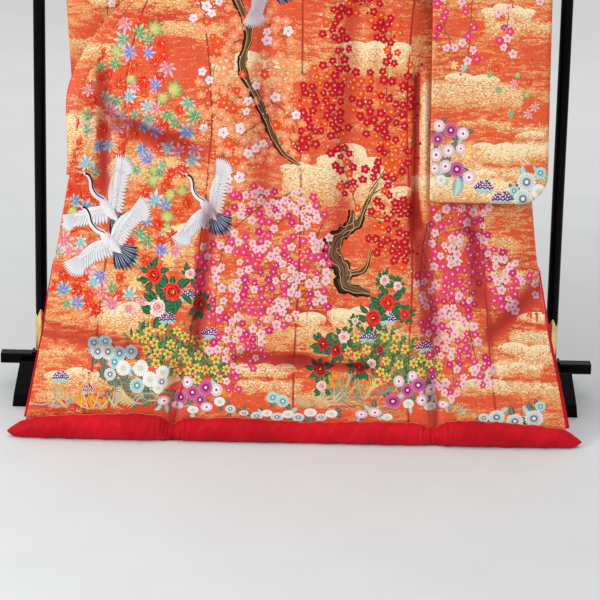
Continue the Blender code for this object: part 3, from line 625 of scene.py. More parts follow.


# gold clouds and mists laid on the cloth, a few of them also painted highlights, in millimetres: centre, half
# width, half height; strength
clouds = (
    (110, 715, 160, 60, 0.62), (165, 745, 110, 40, 0.5), (20, 735, 70, 20, 0.55), (250, 640, 90, 20, 0.3),
    # the mist at x -660, z 850 is also a painted highlight: a soft cream glow on the left front's top
    (-330, 720, 80, 24, 0.26), (-450, 740, 120, 55, 0.34), (-660, 850, 60, 60, 0.56),
    (-560, 450, 90, 30, 0.22), (-350, 520, 45, 80, 0.3), (-520, 330, 90, 22, 0.48),
    (-470, 300, 60, 16, 0.4), (-690, 230, 80, 16, 0.3), (-620, 150, 110, 18, 0.4),
    (-700, 110, 70, 14, 0.34), (-360, 240, 70, 18, 0.24), (-120, 330, 90, 20, 0.26),
    (-20, 300, 70, 18, 0.28), (-80, 150, 100, 20, 0.46), (20, 118, 110, 14, 0.36), (40, 300, 60, 20, 0.4),
    (210, 330, 70, 24, 0.45), (280, 300, 60, 18, 0.36), (340, 230, 90, 20, 0.25), (540, 560, 110, 20, 0.3),
    (640, 470, 80, 20, 0.26), (700, 300, 70, 18, 0.6), (730, 240, 80, 18, 0.56), (630, 215, 100, 22, 0.56),
    (690, 155, 110, 22, 0.52), (560, 160, 90, 18, 0.46), (450, 330, 60, 16, 0.22), (180, 470, 90, 16, 0.16),
    # the narrow strip at x 366 lies on a fold's ridge: gold weft there, and a painted highlight of the
    # ridge's shine
    (-200, 620, 60, 16, 0.22), (366, 800, 14, 200, 0.62), (-150, 1020, 120, 30, 0.42),
    (-60, 1050, 80, 26, 0.42), (230, 1060, 110, 28, 0.4), (-330, 1150, 100, 28, 0.36),
    (60, 1290, 130, 32, 0.44), (150, 1320, 90, 26, 0.42), (-220, 1370, 110, 28, 0.42),
    (240, 1540, 110, 30, 0.44), (-80, 1580, 120, 30, 0.42), (-260, 1620, 90, 26, 0.38),
    # the strong pale mists over the right sleeve, on this line and the next two, also stand for a painted
    # sheen of light across the sleeve
    (500, 990, 150, 40, 0.5), (560, 826, 110, 20, 0.85), (680, 842, 90, 22, 0.95),
    (480, 730, 150, 36, 0.85), (640, 708, 110, 18, 0.8), (440, 810, 90, 50, 0.5), (540, 915, 80, 12, 0.42),
    (660, 900, 90, 10, 0.36), (580, 784, 70, 9, 0.6), (660, 770, 70, 8, 0.55), (640, 1180, 110, 28, 0.44),
    (480, 1290, 100, 26, 0.4), (580, 1480, 120, 30, 0.44), (440, 1620, 90, 26, 0.4),
    (-480, 860, 90, 24, 0.4), (-600, 1080, 110, 28, 0.44), (-440, 1240, 100, 26, 0.4),
    (-560, 1420, 110, 28, 0.44), (-460, 1620, 100, 26, 0.4),
)
plainStrips = ((-0.361, 0.080, 0.048), (0.405, 0.075, 0.030))  # middle, half width, height over the hem


def giltAt(x, z):
    # how much gold lies at each place, some of it also painted highlight: scalloped cloud tops that fade
    # downwards, none on the plain strips
    gilt = np.zeros_like(x)
    for *inMillimetres, strength in clouds:
        cloudX, cloudZ, halfWidth, halfHeight = metres(*inMillimetres)
        across = (x - cloudX) / halfWidth
        bumps = 0.22 * np.abs(np.sin(pi * (x - cloudX) / (halfWidth * 0.62) + cloudZ * 40))
        up = (z - cloudZ) / halfHeight - bumps
        inside = capped(1 - across ** 2) ** 0.35
        top = 1 - ease(up, 0.75 * inside, 0.75 * inside + 0.22)
        under = ease(up, -1.9, 0.7)
        gilt = np.maximum(gilt, strength * top * under * (inside > 0) * ease(inside, 0.0, 0.5))
    for middle, halfWidth, height in plainStrips:
        near = ease(1 - np.abs(x - middle) / halfWidth, 0.0, 0.5)
        over = 1 - ease(z, cloth["hem"] + height * 0.5, cloth["hem"] + height)
        gilt = gilt - 1.2 * near * over
    return gilt


def foldShade(x, z):
    # how far each place lies in a fold's valley, where less light comes
    deep = capped(troughs(mainFolds, x, z) / 0.014)
    fine = capped(troughs(fineCreases, x, z) / 0.003)
    return np.clip(0.84 * deep ** 1.2 + 0.42 * fine ** 1.5, 0.0, 0.95)


def edgeShares(count):
    # even columns with closer ones at both edges, where the seams turn in
    close = (0.006, 0.018, 0.04)
    return np.array(sorted({*np.linspace(0.0, 1.0, count), *close, *(1 - share for share in close)}))


def clothPiece(name, form, shares, levels, outward, replaced, brocaded, slotName, seams=(True, True)):
    # form gives x, y and z at each share of the width and each level; seams says which edges are sewn
    level, share = np.meshgrid(np.asarray(levels, float), np.asarray(shares, float), indexing="ij")
    x, y, z = form(share, level)
    width = np.hypot(x[:, -1] - x[:, 0], y[:, -1] - y[:, 0])[:, None]
    fromStart, fromEnd = (away * width if sewn else 1.0 for sewn, away in zip(seams, (share, 1 - share)))
    dip = np.exp(-(np.minimum(fromStart, fromEnd) / cloth["seamReach"]) ** 2)
    seam = dip * (z < poleHeight - cloth["seamStop"])
    y = y + cloth["seamDip"] * seam
    points = np.stack([x, y + postPlane, z], axis=-1).reshape(-1, 3)
    faces = gridFaces(*x.shape, flip=outward < 0)
    made = joinedUp(name, points, faces, (brocaded, lining), garment)
    paint(made, "gilt", giltAt(x, z))
    onBody = replaced.startswith(("back", "front", "overlap"))
    folds = foldShade(x, z) if onBody else np.zeros_like(x)
    paint(made, "shade", np.maximum(0.9 * dip, folds))
    paint(made, "seam", seam)
    wall = made.modifiers.new("Wall", "SOLIDIFY")
    wall.thickness = cloth["wall"]
    wall.offset = 0.0
    wall.material_offset = 1
    wall.material_offset_rim = 1
    return settled(made, slotName, replaced)


# the body's rows: heights up to the pole's axis, closer at the neck, then arc lengths over the pole
upright = [*np.linspace(cloth["hem"], poleHeight, 170), cloth["neckDrop"] + 0.0001, cloth["neckDrop"] + 0.003]
bodyLevels = np.array(sorted(upright) + [poleHeight + overPole * s for s in (0.2, 0.4, 0.6, 0.8, 1.0)])
names = {-1: "left", 1: "right"}
pieces = {}
for side, word in names.items():
    pieces["back", side] = clothPiece(
        f"backLength_{word}", lambda s, l: backForm(side, s, l), edgeShares(44), bodyLevels,
        side, f"back_{word}", bodyBrocade, "brocade")
    pieces["front", side] = clothPiece(
        f"frontLength_{word}", lambda s, l: stripForm(side, s, l, "side", "okumi"),
        edgeShares(40), bodyLevels, side, f"front_{word}", bodyBrocade, "brocade")
    pieces["overlap", side] = clothPiece(
        f"overlapPanel_{word}", lambda s, l: stripForm(side, s, l, "okumi", "collar"),
        edgeShares(22), bodyLevels[bodyLevels < cloth["okumiTop"]], side, f"overlap_{word}",
        overlapBrocade, "overlap_brocade", seams=(True, False))
    top = poleHeight - cloth["sleeveFloor"]
    rises = [0.0, 0.002, 0.005, 0.009, *np.linspace(0.014, top, 90)]
    rises += [top + overPole * s for s in (0.25, 0.5, 0.75, 1.0)]
    corner = cloth["sleeveCorner"] / cloth["sleeveWidth"]
    bends = [1 - corner + corner * sin(radians(a)) for a in range(8, 90, 8)]
    across = np.array(sorted({*np.linspace(0, 1 - corner, 26), *bends, 1.0}))
    for layer, facing, outward in (("viewer", "back", side), ("far", "front", -side)):
        pieces["sleeve", side, layer] = clothPiece(
            f"sleeveLayer_{word}_{facing}",
            lambda s, l: sleeveForm(side, layer, s, l), across, rises, outward,
            f"sleeve_{word}_{facing}", sleeveBrocade, "sleeve_brocade", seams=(False, False))

# the collar: from its lower end up the front edge and round the neck
neckLine = (  # in millimetres: x, y and z of the band's seam, then of its free edge
    (103.5, 12, 1769, 68, 24, 1786),
    (103.5, 0, 1773.5, 64, 8, 1795),
    (98, -16.5, 1767, 58, -6, 1799),
    (76, -23.2, 1752, 45, -14, 1799),
    (40, -23.2, 1742, 24, -17.5, 1797),
    (0.3, -23.2, 1738, 0.3, -18.5, 1796),
)


def smoothLine(points, steps):
    # a line through points with extra ones between, rounded as a bent band is
    points = [np.array(p, float) for p in points]
    out = []
    for i in range(len(points) - 1):
        before, after = points[max(i - 1, 0)], points[min(i + 2, len(points) - 1)]
        for k in range(steps):
            t = k / steps
            slopeA, slopeB = (points[i + 1] - before) / 2, (after - points[i]) / 2
            h = t * t * (3 - 2 * t)
            out.append(points[i] * (1 - h) + points[i + 1] * h
                       + slopeA * t * (1 - t) ** 2 - slopeB * t * t * (1 - t))
    return out + [points[-1]]


for side, word in names.items():
    low = bodyLevels[(bodyLevels > cloth["collarEnd"]) & (bodyLevels <= poleHeight)]
    low = np.array([cloth["collarEnd"], *low])
    width = np.hypot(*(np.array(frontForm(side, 1.0, low)) - frontForm(side, 0.0, low))[:2])
    gap = 0.5 * cloth["seamGap"] / width
    seam = np.stack(frontForm(side, seamShare(side, "collar", low) + gap, low), axis=-1)
    free = np.stack(frontForm(side, np.ones_like(low), low), axis=-1)
    neck = [metres(side * x, y, z, side * freeX, freeY, freeZ) for x, y, z, freeX, freeY, freeZ in neckLine]
    neckSeam, neckFree = [row[:3] for row in neck], [row[3:] for row in neck]
    seam = np.array(list(seam[:-1]) + smoothLine([seam[-1], *neckSeam], 5))
    free = np.array(list(free[:-1]) + smoothLine([free[-1], *neckFree], 5))
    rows = np.arange(len(seam))

    def collarForm(share, row):
        # a folded band: slightly fuller in its middle than at its two edges
        i = row.astype(int)
        spot = seam[i] * (1 - share[..., None]) + free[i] * share[..., None]
        return spot[..., 0], spot[..., 1] - cloth["collarFullness"] * np.sin(pi * share), spot[..., 2]

    pieces["collar", side] = clothPiece(
        f"collarBand_{word}", collarForm, np.linspace(0, 1, 9), rows, side, f"collar_{word}",
        collarBrocade, "collar_brocade", seams=(False, False))
print("cloth cut and hung:", len(pieces), "pieces")


# the padded hem, its piping and the padded front edges
rollLook = {
    "step": 0.0025, "around": 44, "fill": 0.85, "wrinkle": 0.0009, "tipLift": 0.017,
    "puckerDepth": 0.0075, "puckerReach": 0.100, "puckerStart": 0.0075, "puckerGrowth": 0.075,
}
rollWrinkles = ((11.0, 2, 0.4, 1.0), (17.0, -1, 2.1, 0.8), (29.0, 3, 4.0, 0.6), (53.0, -2, 1.2, 0.35))


def rollForm(x, turn):
    # wadded silk: gathered hard at the pinches, faint slanting wrinkles elsewhere
    radius = rollRadius(x)
    slack = np.zeros_like(x)
    for count, twist, phase, size in rollWrinkles:
        slack += size * np.sin(2 * pi * count * x + twist * turn + phase)
    radius = radius + rollLook["wrinkle"] * slack * capped(radius / 0.03)
    for pinch in pinches:
        away = x - pinch
        reach = rollLook["puckerReach"]
        near = capped(1 - np.abs(away) / reach) ** 1.3
        # the folds grow wider away from the pinch
        fanned = away / (rollLook["puckerStart"] + rollLook["puckerGrowth"] * np.abs(away))
        bend = 0.45 * np.sin(turn * 1.5 + pinch * 9) + 0.35 * np.sin(turn * 3.1 + away * 60)
        crease = np.abs(np.sin(pi * fanned + bend))
        uneven = 0.65 + 0.35 * np.sin(fanned * 2.3 + turn * 0.7 + pinch * 5)
        radius = radius - rollLook["puckerDepth"] * near * uneven * (1 - crease) ** 1.2
    tip = capped((0.845 - np.abs(x)) / 0.05)
    radius = radius - 0.0012 * (1 - tip) * np.abs(np.sin(turn * 5)) * (tip > 0)
    radius = np.maximum(radius, 0.002)
    base = follow(hemRoll, "radius", x)
    z = 0.93 * np.maximum(base, rollLook["tipLift"]) + 1.02 * radius * np.sin(turn)
    return x, cloth["rollY"] + radius * np.cos(turn), np.maximum(z, 0.0004)


rollEnds = (hemRoll[1][0], *pinches, hemRoll[-1][0])
for word, start, end in zip(("left", "middle", "right"), rollEnds, rollEnds[1:]):
    count = int((end - start) / rollLook["step"])
    stations = np.linspace(start, end, count)
    turns = np.linspace(0, 2 * pi, rollLook["around"], endpoint=False)
    x, turn = np.meshgrid(stations, turns, indexing="ij")
    x, y, z = rollForm(x, turn)
    points = np.stack([x, y + postPlane, z], axis=-1).reshape(-1, 3).tolist()
    around = rollLook["around"]
    faces = ringFaces(count, around)
    for ring, flip in ((0, False), (count - 1, True)):
        middle = len(points)
        points.append(np.mean(points[ring * around:(ring + 1) * around], axis=0).tolist())
        for c in range(around):
            tri = (ring * around + c, middle, ring * around + (c + 1) % around)
            faces.append(tri[::-1] if flip else tri)
    made = joinedUp(f"paddedHem_{word}", points, faces, (rollSilk,), garment)
    settled(made, "crimson_silk", f"hem_roll_{word}", fill=rollLook["fill"])


def tube(name, path, radii, finish, around):
    # a round tube through points, closed at both ends
    path = [Vector(p) for p in path]
    points = []
    for i, spot in enumerate(path):
        ahead = (path[min(i + 1, len(path) - 1)] - path[max(i - 1, 0)]).normalized()
        sideways = ahead.cross(Vector((0, 1, 0)))
        sideways = sideways.normalized() if sideways.length > 0.01 else Vector((1, 0, 0))
        upright = sideways.cross(ahead).normalized()
        for k in range(around):
            turn = 2 * pi * k / around
            points.append(spot + float(radii[i]) * (cos(turn) * sideways + sin(turn) * upright))
    return joinedUp(name, points, ringFaces(len(path), around, True), (finish,), garment)


edgeLook = {"low": 0.074, "high": 0.500, "radius": {-1: 0.0034, 1: 0.0055}, "taper": 0.6, "fill": 0.8}
for side, word in names.items():
    levels = np.linspace(edgeLook["low"], edgeLook["high"], 70)
    share = (levels - levels[0]) / (levels[-1] - levels[0])
    radii = edgeLook["radius"][side] * (1 - edgeLook["taper"] * share) * (1 + 0.05 * np.sin(share * 55))
    radii[-3:] *= (0.9, 0.65, 0.3)
    x, y, z = frontForm(side, np.ones_like(levels), levels)
    path = np.stack([x + side * (radii + 0.0008), y + postPlane, z], axis=-1)
    made = tube(f"paddedEdge_{word}", path, radii, rollSilk, 14)
    settled(made, "crimson_silk", f"edge_roll_{word}", fill=edgeLook["fill"])

pipingLook = {"radius": 0.0009, "step": 0.003, "dark": (188, 122, 76), "pale": (228, 182, 132)}
pipingThread, tree, shader = newMaterial("pipingThread", 0.5)
twist = mapped(tree, noiseOf(tree, (400.0, 60.0, 60.0), 2.0), 0.35, 0.65)
twist = blended(tree, twist, inLinear(*pipingLook["dark"]), inLinear(*pipingLook["pale"]))
feed(shader, "Base Color", twist)
for word, low, high in (("left", -0.786, -0.363), ("middle", -0.359, 0.408), ("right", 0.412, 0.792)):
    # a pale cord let in where the cloth meets the roll
    xs = np.linspace(low, high, int((high - low) / pipingLook["step"]))
    y = lean(np.full_like(xs, cloth["hem"])) - 0.0026
    turn = np.full_like(xs, 1.2)
    for _ in range(4):
        _, rollY, rollZ = rollForm(xs, turn)
        turn = turn + (rollY - y) / rollRadius(xs)
    path = np.stack([xs, y + postPlane, rollZ + 0.0004], axis=-1)
    made = tube(f"hemPiping_{word}", path, [pipingLook["radius"]] * len(xs), pipingThread, 6)
    settled(made, "brocade")
print("hem padded and piped")


# the stand: what a turner and a metal worker would make for it
standLook = {
    "postSides": 64, "socketSides": 96, "socketWall": 0.0011, "scallop": 0.012, "tongues": 4, "eased": 0.0015,
}


def turned(name, profile, finish, axis, centre):
    # a piece turned on a lathe: profile is (radius, along) from one end to the other
    sides, points = standLook["postSides"], []
    for radius, along in profile:
        for k in range(sides):
            turn = 2 * pi * k / sides
            a, b = radius * cos(turn), radius * sin(turn)
            points.append(Vector((a, b, along) if axis == "z" else (along, a, b)) + Vector(centre))
    made = joinedUp(name, points, ringFaces(len(profile), sides, True), (finish,), stand)
    made.data.set_sharp_from_angle(angle=radians(35))
    return made


def rounded(radius, low, high):
    # a rod's profile with eased ends
    edge = standLook["eased"]
    return [(radius - edge, low), (radius - edge * 0.3, low + edge * 0.3), (radius, low + edge),
            (radius, high - edge), (radius - edge * 0.3, high - edge * 0.3), (radius - edge, high)]


for word in names.values():
    low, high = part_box(f"post_{word}")
    middle = (low + high) / 2
    radius = (high.x - low.x) / 2
    post = turned(f"roundPost_{word}", rounded(radius, low.z, high.z), blackLacquer, "z",
                  (middle.x, middle.y, 0))
    settled(post, "black_lacquer", f"post_{word}")

    low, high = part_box(f"post_socket_{word}")
    middle = (low + high) / 2
    outer = (high.x - low.x) / 2 - 0.0006
    sides, points = standLook["socketSides"], []
    rim = high.z - standLook["scallop"]
    # from the foot up: a beaded ring, a plain wall, an engraved line below the scalloped lip
    rings = ((-0.0012, 0), (0.0008, 0.0015), (0.0010, 0.0045), (0, 0.006), (-0.0004, 0.0075), (0, 0.009),
             (0, 0.5), (0, 0.90), (-0.0004, 0.915), (0, 0.93), (0, 0.985), (-0.0005, 1))
    for out, up in rings:
        for k in range(sides):
            turn = 2 * pi * k / sides
            lip = standLook["scallop"] * cos(standLook["tongues"] * turn)
            height = low.z + up if up < 0.1 else low.z + (rim + lip - low.z) * up
            reach = outer + out
            points.append((middle.x + reach * cos(turn), middle.y + reach * sin(turn), height))
    socket = joinedUp(f"brassSocket_{word}", points, ringFaces(len(rings), sides), (brass,), stand)
    wall = socket.modifiers.new("Wall", "SOLIDIFY")
    wall.thickness = standLook["socketWall"]
    wall.offset = -1.0
    settled(socket, "gilt_brass", f"post_socket_{word}")

    low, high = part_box(f"pole_cap_{word}")
    radius = (high.z - low.z) / 2
    near, far = (high.x, low.x) if word == "left" else (low.x, high.x)
    way = 1 if far > near else -1
    length = abs(far - near)
    # from the pole out: a bead, a groove, a plain wall and a rounded end, as set in from the radius
    profile = ((0.001, 0), (0, 0.001), (0, 0.004), (0.0015, 0.0055), (0.0012, 0.008),
               (0.0014, length - 0.006), (0.004, length - 0.002), (0.010, length))
    profile = [(radius - inset, near + way * along) for inset, along in profile]
    if way < 0:
        profile.reverse()
    cap = turned(f"brassCap_{word}", profile, brass, "x", (0, (low.y + high.y) / 2, poleHeight))
    settled(cap, "gilt_brass", f"pole_cap_{word}")

low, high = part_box("pole")
pole = turned("roundPole", rounded(poleRadius, low.x, high.x), blackLacquer, "x", (0, postPlane, poleHeight))
settled(pole, "black_lacquer", "pole")
for name in ("foot_left", "foot_right", "lower_bar", "plinth_left", "plinth_right"):
    nodes[name].material_slots[0].material = blackLacquer
for name in ("pole_saddle_left", "pole_saddle_right"):
    nodes[name].material_slots[0].material = brass
print("stand turned and lacquered")


# figures: drawn flat as complex numbers, x across the garment and z up in metres, then laid on the cloth
chance = random.Random(11)
vary, pick = chance.uniform, chance.choice
drawn = {}
placed = {}
ground = "body"


def mix(first, second, share):
    return tuple(a + (b - a) * share for a, b in zip(first, second))


def toward(angle):
    return cmath.exp(1j * angle)


circle, upwards = 6.283, 1.57  # in radians


def anyTurn():
    return chance.random() * 6.3


def inEllipse(middle, reachX, reachZ, around=circle):
    # a place by chance in an ellipse, and the angle that it was found at
    angle, out = chance.random() * around, chance.random() ** 0.5
    return middle + complex(reachX * out * cos(angle), reachZ * out * sin(angle)), angle


def add(family, corners, faces):
    # each corner is its place, its tint and its height over the cloth in millimetres
    keptCorners, keptFaces = drawn.setdefault((ground, family), ([], []))
    start = len(keptCorners)
    keptCorners.extend(corners)
    keptFaces.extend(tuple(start + i for i in face) for face in faces)


def fanFaces(count):
    # triangles from a middle corner to the ring of corners after it
    return [(0, 1 + k, 1 + (k + 1) % count) for k in range(count)]


def cellOf(spot):
    return ground, int(spot.real // 0.05), int(spot.imag // 0.05)


def take(spot, reach):
    placed.setdefault(cellOf(spot), []).append((spot, reach))


def room(spot, size, gap):
    # true, and the place is taken, where nothing placed before is too near
    _, column, row = cellOf(spot)
    for i in (-1, 0, 1):
        for j in (-1, 0, 1):
            for other, reach in placed.get((ground, column + i, row + j), ()):
                if abs(spot - other) < gap * (size + reach):
                    return False
    take(spot, size)
    return True


def flower(family, middle, size, rings, petals=3, depth=0.0, sharp=1.0, notch=0.0, turn=0.0, per=2,
           squash=1.0):
    # rings run outwards: share of the size, tint, lift in millimetres; per is the corners of a petal
    count = petals * per
    corners = [(middle, *rings[0][1:])]
    spin = toward(turn)
    for share, tint, high in rings[1:]:
        for k in range(count):
            angle = 2 * pi * k / count
            lobe = abs(cos(petals * angle / 2))
            reach = share * (1 - depth * share * (1 - lobe ** sharp))
            reach -= notch * share * max(0.0, lobe - 0.8) / 0.2
            out = complex(cos(angle), squash * sin(angle)) * spin
            corners.append((middle + size * reach * out, tint, high))
    faces = fanFaces(count)
    for r in range(len(rings) - 2):
        for k in range(count):
            a, b = 1 + r * count + k, 1 + r * count + (k + 1) % count
            faces += [(a, a + count, b + count), (a, b + count, b)]
    add(family, corners, faces)


def bend(start, end, sag, steps):
    # a curve from start to end that bows to its left by a share of its length
    out = []
    for k in range(steps + 1):
        t = k / steps
        out.append(start + (end - start) * (t + 1j * sag * 4 * t * (1 - t)))
    return out


def through(points, steps):
    flat = smoothLine([(p.real, p.imag) for p in points], steps)
    return [complex(*p) for p in flat]


def blade(family, path, widths, left, middle, right, lift, ridge=0.25):
    # a strip in two halves; a side's tint is one tone, or a pair that runs from root to tip
    left, middle, right = (t if isinstance(t[0], tuple) else (t, t) for t in (left, middle, right))
    last = len(path) - 1
    corners, faces = [], []
    for k, spot in enumerate(path):
        along = path[min(k + 1, last)] - path[max(k - 1, 0)]
        aside = 1j * along / max(abs(along), 1e-9) * widths[k]
        for out, tint, high in ((aside, left, 0.0), (0, middle, ridge), (-aside, right, 0.0)):
            corners.append((spot + out, mix(*tint, k / last), lift + high))
        if k:
            a = 3 * k - 3
            for c in (a, a + 1):
                faces += [(c, c + 4, c + 3), (c, c + 1, c + 4)]
    add(family, corners, faces)


def taper(count, widest, peak, tip=0.0):
    # half widths of a leaf or a feather with its broadest place at peak
    out = []
    for k in range(count):
        t = k / (count - 1)
        rise = t / peak if t < peak else (1 - t) / (1 - peak)
        out.append(widest * max(sin(0.5 * pi * rise) ** 0.8 if rise > 0 else 0.0, tip))
    return out


def inks(*swatches):
    return [inLinear(*s) for s in swatches]


# dot, heart, petal and edge of each kind of blossom
blossomKinds = {
    "hotPink": inks((255, 220, 226), (238, 84, 138), (224, 34, 100), (236, 74, 130)),
    "magenta": inks((250, 200, 215), (214, 56, 120), (200, 26, 96), (216, 60, 124)),
    "palePink": inks((200, 76, 110), (236, 176, 190), (242, 208, 212), (252, 232, 230)),
    "white": inks((214, 120, 120), (242, 216, 216), (242, 234, 234), (254, 250, 248)),
    "crimson": inks((250, 170, 170), (214, 30, 48), (190, 4, 22), (138, 2, 16)),
    "vermilion": inks((255, 226, 150), (246, 96, 40), (240, 58, 18), (250, 116, 60)),
    "peach": inks((250, 220, 180), (244, 158, 112), (240, 140, 92), (250, 190, 150)),
    "yellow": inks((150, 80, 26), (206, 146, 48), (238, 212, 100), (252, 240, 160)),
}
bark = inks((128, 92, 68), (84, 54, 40), (36, 24, 22), (176, 146, 116))
leafGreens = inks((6, 52, 32), (22, 94, 54), (4, 36, 26), (58, 126, 82))
oliveGreens = inks((40, 84, 40), (96, 128, 62), (24, 60, 34), (130, 156, 84))
gold = inks((250, 224, 160), (236, 196, 120))


def blossom(middle, size, kind):
    dot, heart, petal, edge = blossomKinds[kind]
    shaded = mix(petal, heart, 0.25 * chance.random())
    low = 0.5 + 0.5 * chance.random()
    squash = 1.0 - 0.25 * chance.random() ** 2
    rings = ((0, dot, low + 0.5), (0.11, dot, low + 0.5), (0.26, heart, low + 0.2),
             (0.88, shaded, low + 0.35), (1.0, edge, low))
    flower("blossoms", middle, size, rings, 5, 0.30, 0.7, turn=anyTurn(), per=4, squash=squash)


def bud(middle, size, kind):
    _, heart, petal, edge = blossomKinds[kind]
    flower("blossoms", middle, size, ((0, heart, 1.1), (0.6, petal, 0.9), (1.0, edge, 0.5)), depth=0.1,
           turn=anyTurn(), per=3)


def twig(path, start, end):
    last = len(path) - 1
    widths = [start + (end - start) * k / last for k in range(last + 1)]
    blade("twigs", path, widths, bark[1], bark[0], (bark[2], bark[1]), 0.35, 0.2)


def leaf(root, tip, widest, tones=leafGreens, sag=0.12, lift=0.5, serrate=0.0):
    deep, fresh, dark, vein = tones
    path = bend(root, tip, sag, 7)
    widths = [w * (1 + serrate * (-1) ** k) for k, w in enumerate(taper(len(path), widest, 0.42))]
    blade("leaves", path, widths, (deep, fresh), vein, (dark, deep), lift + 0.25 * chance.random(), 0.3)


# heart, middle and tips of each maple leaf
mapleTones = [inks(*three) for three in (
    ((190, 16, 10), (232, 38, 20), (246, 76, 38)), ((60, 104, 200), (104, 168, 204), (228, 232, 170)),
    ((34, 122, 86), (112, 176, 130), (238, 232, 160)), ((200, 30, 18), (230, 56, 26), (246, 110, 50)),
    ((96, 100, 196), (156, 150, 210), (238, 226, 232)), ((236, 214, 110), (150, 190, 120), (40, 130, 90)),
    ((44, 130, 96), (150, 196, 160), (240, 232, 220)), ((204, 24, 12), (238, 50, 24), (250, 92, 48)),
    ((206, 70, 104), (236, 150, 172), (252, 230, 220)), ((84, 156, 180), (168, 206, 206), (244, 244, 230)),
    ((206, 34, 24), (228, 60, 34), (244, 120, 70)), ((246, 176, 90), (246, 206, 134), (252, 236, 190)),
)]


def mapleLeaf(middle, size, turn, tones):
    # seven pointed lobes from one stalk, washed from heart to tips
    heart, mid, tips = tones
    corners = [(middle, heart, 0.75)]
    lobes = ((-130, 0.55), (-88, 0.80), (-43, 0.95), (0, 1.0), (43, 0.95), (88, 0.80), (130, 0.55))
    outline = ((-22, 0.50, mix(heart, mid, 0.5)), (-13, 0.70, mid), (-6, 0.84, mix(mid, tips, 0.5)),
               (0, 1.0, tips), (6, 0.83, mix(mid, tips, 0.6)), (13, 0.69, mid))
    spin = toward(turn)
    for angle, reach in lobes:
        for off, share, tint in outline:
            out = toward(radians(angle + off)) * spin
            corners.append((middle + size * reach * share * out, tint, 0.45 if share > 0.5 else 0.6))
    corners.append((middle + size * 0.26 * toward(radians(152)) * spin, heart, 0.5))
    add("mapleLeaves", corners, fanFaces(len(corners) - 1))
    for angle, reach in lobes:
        # a fine vein down each lobe
        tip = middle + size * reach * 0.8 * toward(radians(angle)) * spin
        vein = (mix(gold[0], mid, 0.5), tips)
        blade("mapleLeaves", [middle, (middle + tip) / 2, tip], [0.0006, 0.0004, 0.0002],
              vein, vein, vein, 0.85, 0.05)
    stalk = bend(middle, middle - 0.62 * size * spin, 0.1, 3)
    blade("mapleLeaves", stalk, [0.0007] * 4, mid, heart, mid, 0.4, 0.1)


def chrysanthemum(x, z, size, kind, squash=1.0):
    # two rows of narrow petals round a button, over two leaves
    middle = complex(x, z)
    room(middle, size, 0.4)
    underLeaves(middle, size)
    button, root, petal, tip = chrysanthemumKinds[kind]
    turn = chance.random() if squash == 1.0 else 0.0
    low = 0.3 * chance.random()
    deep = mix(root, (0.05, 0.06, 0.08), 0.4)
    outer = ((0, deep, low + 0.6), (0.60, deep, low + 0.6), (0.76, petal, low + 0.75), (1.0, tip, low + 0.45))
    inner = ((0, root, low + 1.1), (0.42, root, low + 1.1), (0.80, petal, low + 1.15), (1.0, tip, low + 0.8))
    heart = ((0, button, low + 1.6), (0.7, button, low + 1.5), (1.0, root, low + 1.2))
    flower("chrysanthemums", middle, size, outer, 17, 0.17, 0.8, turn=turn, per=4, squash=squash)
    flower("chrysanthemums", middle, size * 0.70, inner, 14, 0.20, 0.8,
           turn=turn if squash < 1 else turn + 0.2, per=4, squash=squash)
    flower("chrysanthemums", middle, size * 0.25, heart, 6, 0.1, squash=squash)


def peony(middle, size, tones):
    # ruffled cups of petals, one in another, dark in the creases, round a tuft of stamens
    dark, base, heart, edge = tones
    for layer, (reach, petals) in enumerate(((1.0, 6), (0.80, 5), (0.60, 5), (0.40, 4))):
        low = 0.5 + 0.42 * layer
        rings = ((0, dark, low), (0.66, dark, low + 0.1), (0.84, base, low + 0.35), (1.0, edge, low))
        aside = size * 0.06 * complex(vary(-1, 1), vary(-1, 1))
        flower("peonies", middle + aside, size * reach, rings, petals, 0.20, 0.5, 0.06,
               anyTurn(), 8, 0.9)
    for k in range(9):
        a = anyTurn()
        spot = middle + size * 0.17 * chance.random() * toward(a)
        flower("peonies", spot, size * 0.05, ((0, heart, 2.5), (1.0, heart, 2.3)))


def dots(middle, spreadX, spreadZ, count, size, tones):
    for _ in range(count):
        spot, turn = inEllipse(middle, spreadX, spreadZ, 6.3)
        tone = pick(tones)
        flower("smallFlowers", spot, size * vary(0.7, 1.1),
               ((0, mix(tone, (1, 1, 1), 0.4), 1.0), (1.0, tone, 0.7)), turn=turn)


craneTones = inks((228, 228, 230), (196, 200, 208), (40, 48, 76), (86, 104, 140), (24, 28, 36), (206, 28, 30),
                  (214, 202, 176), (150, 150, 158))


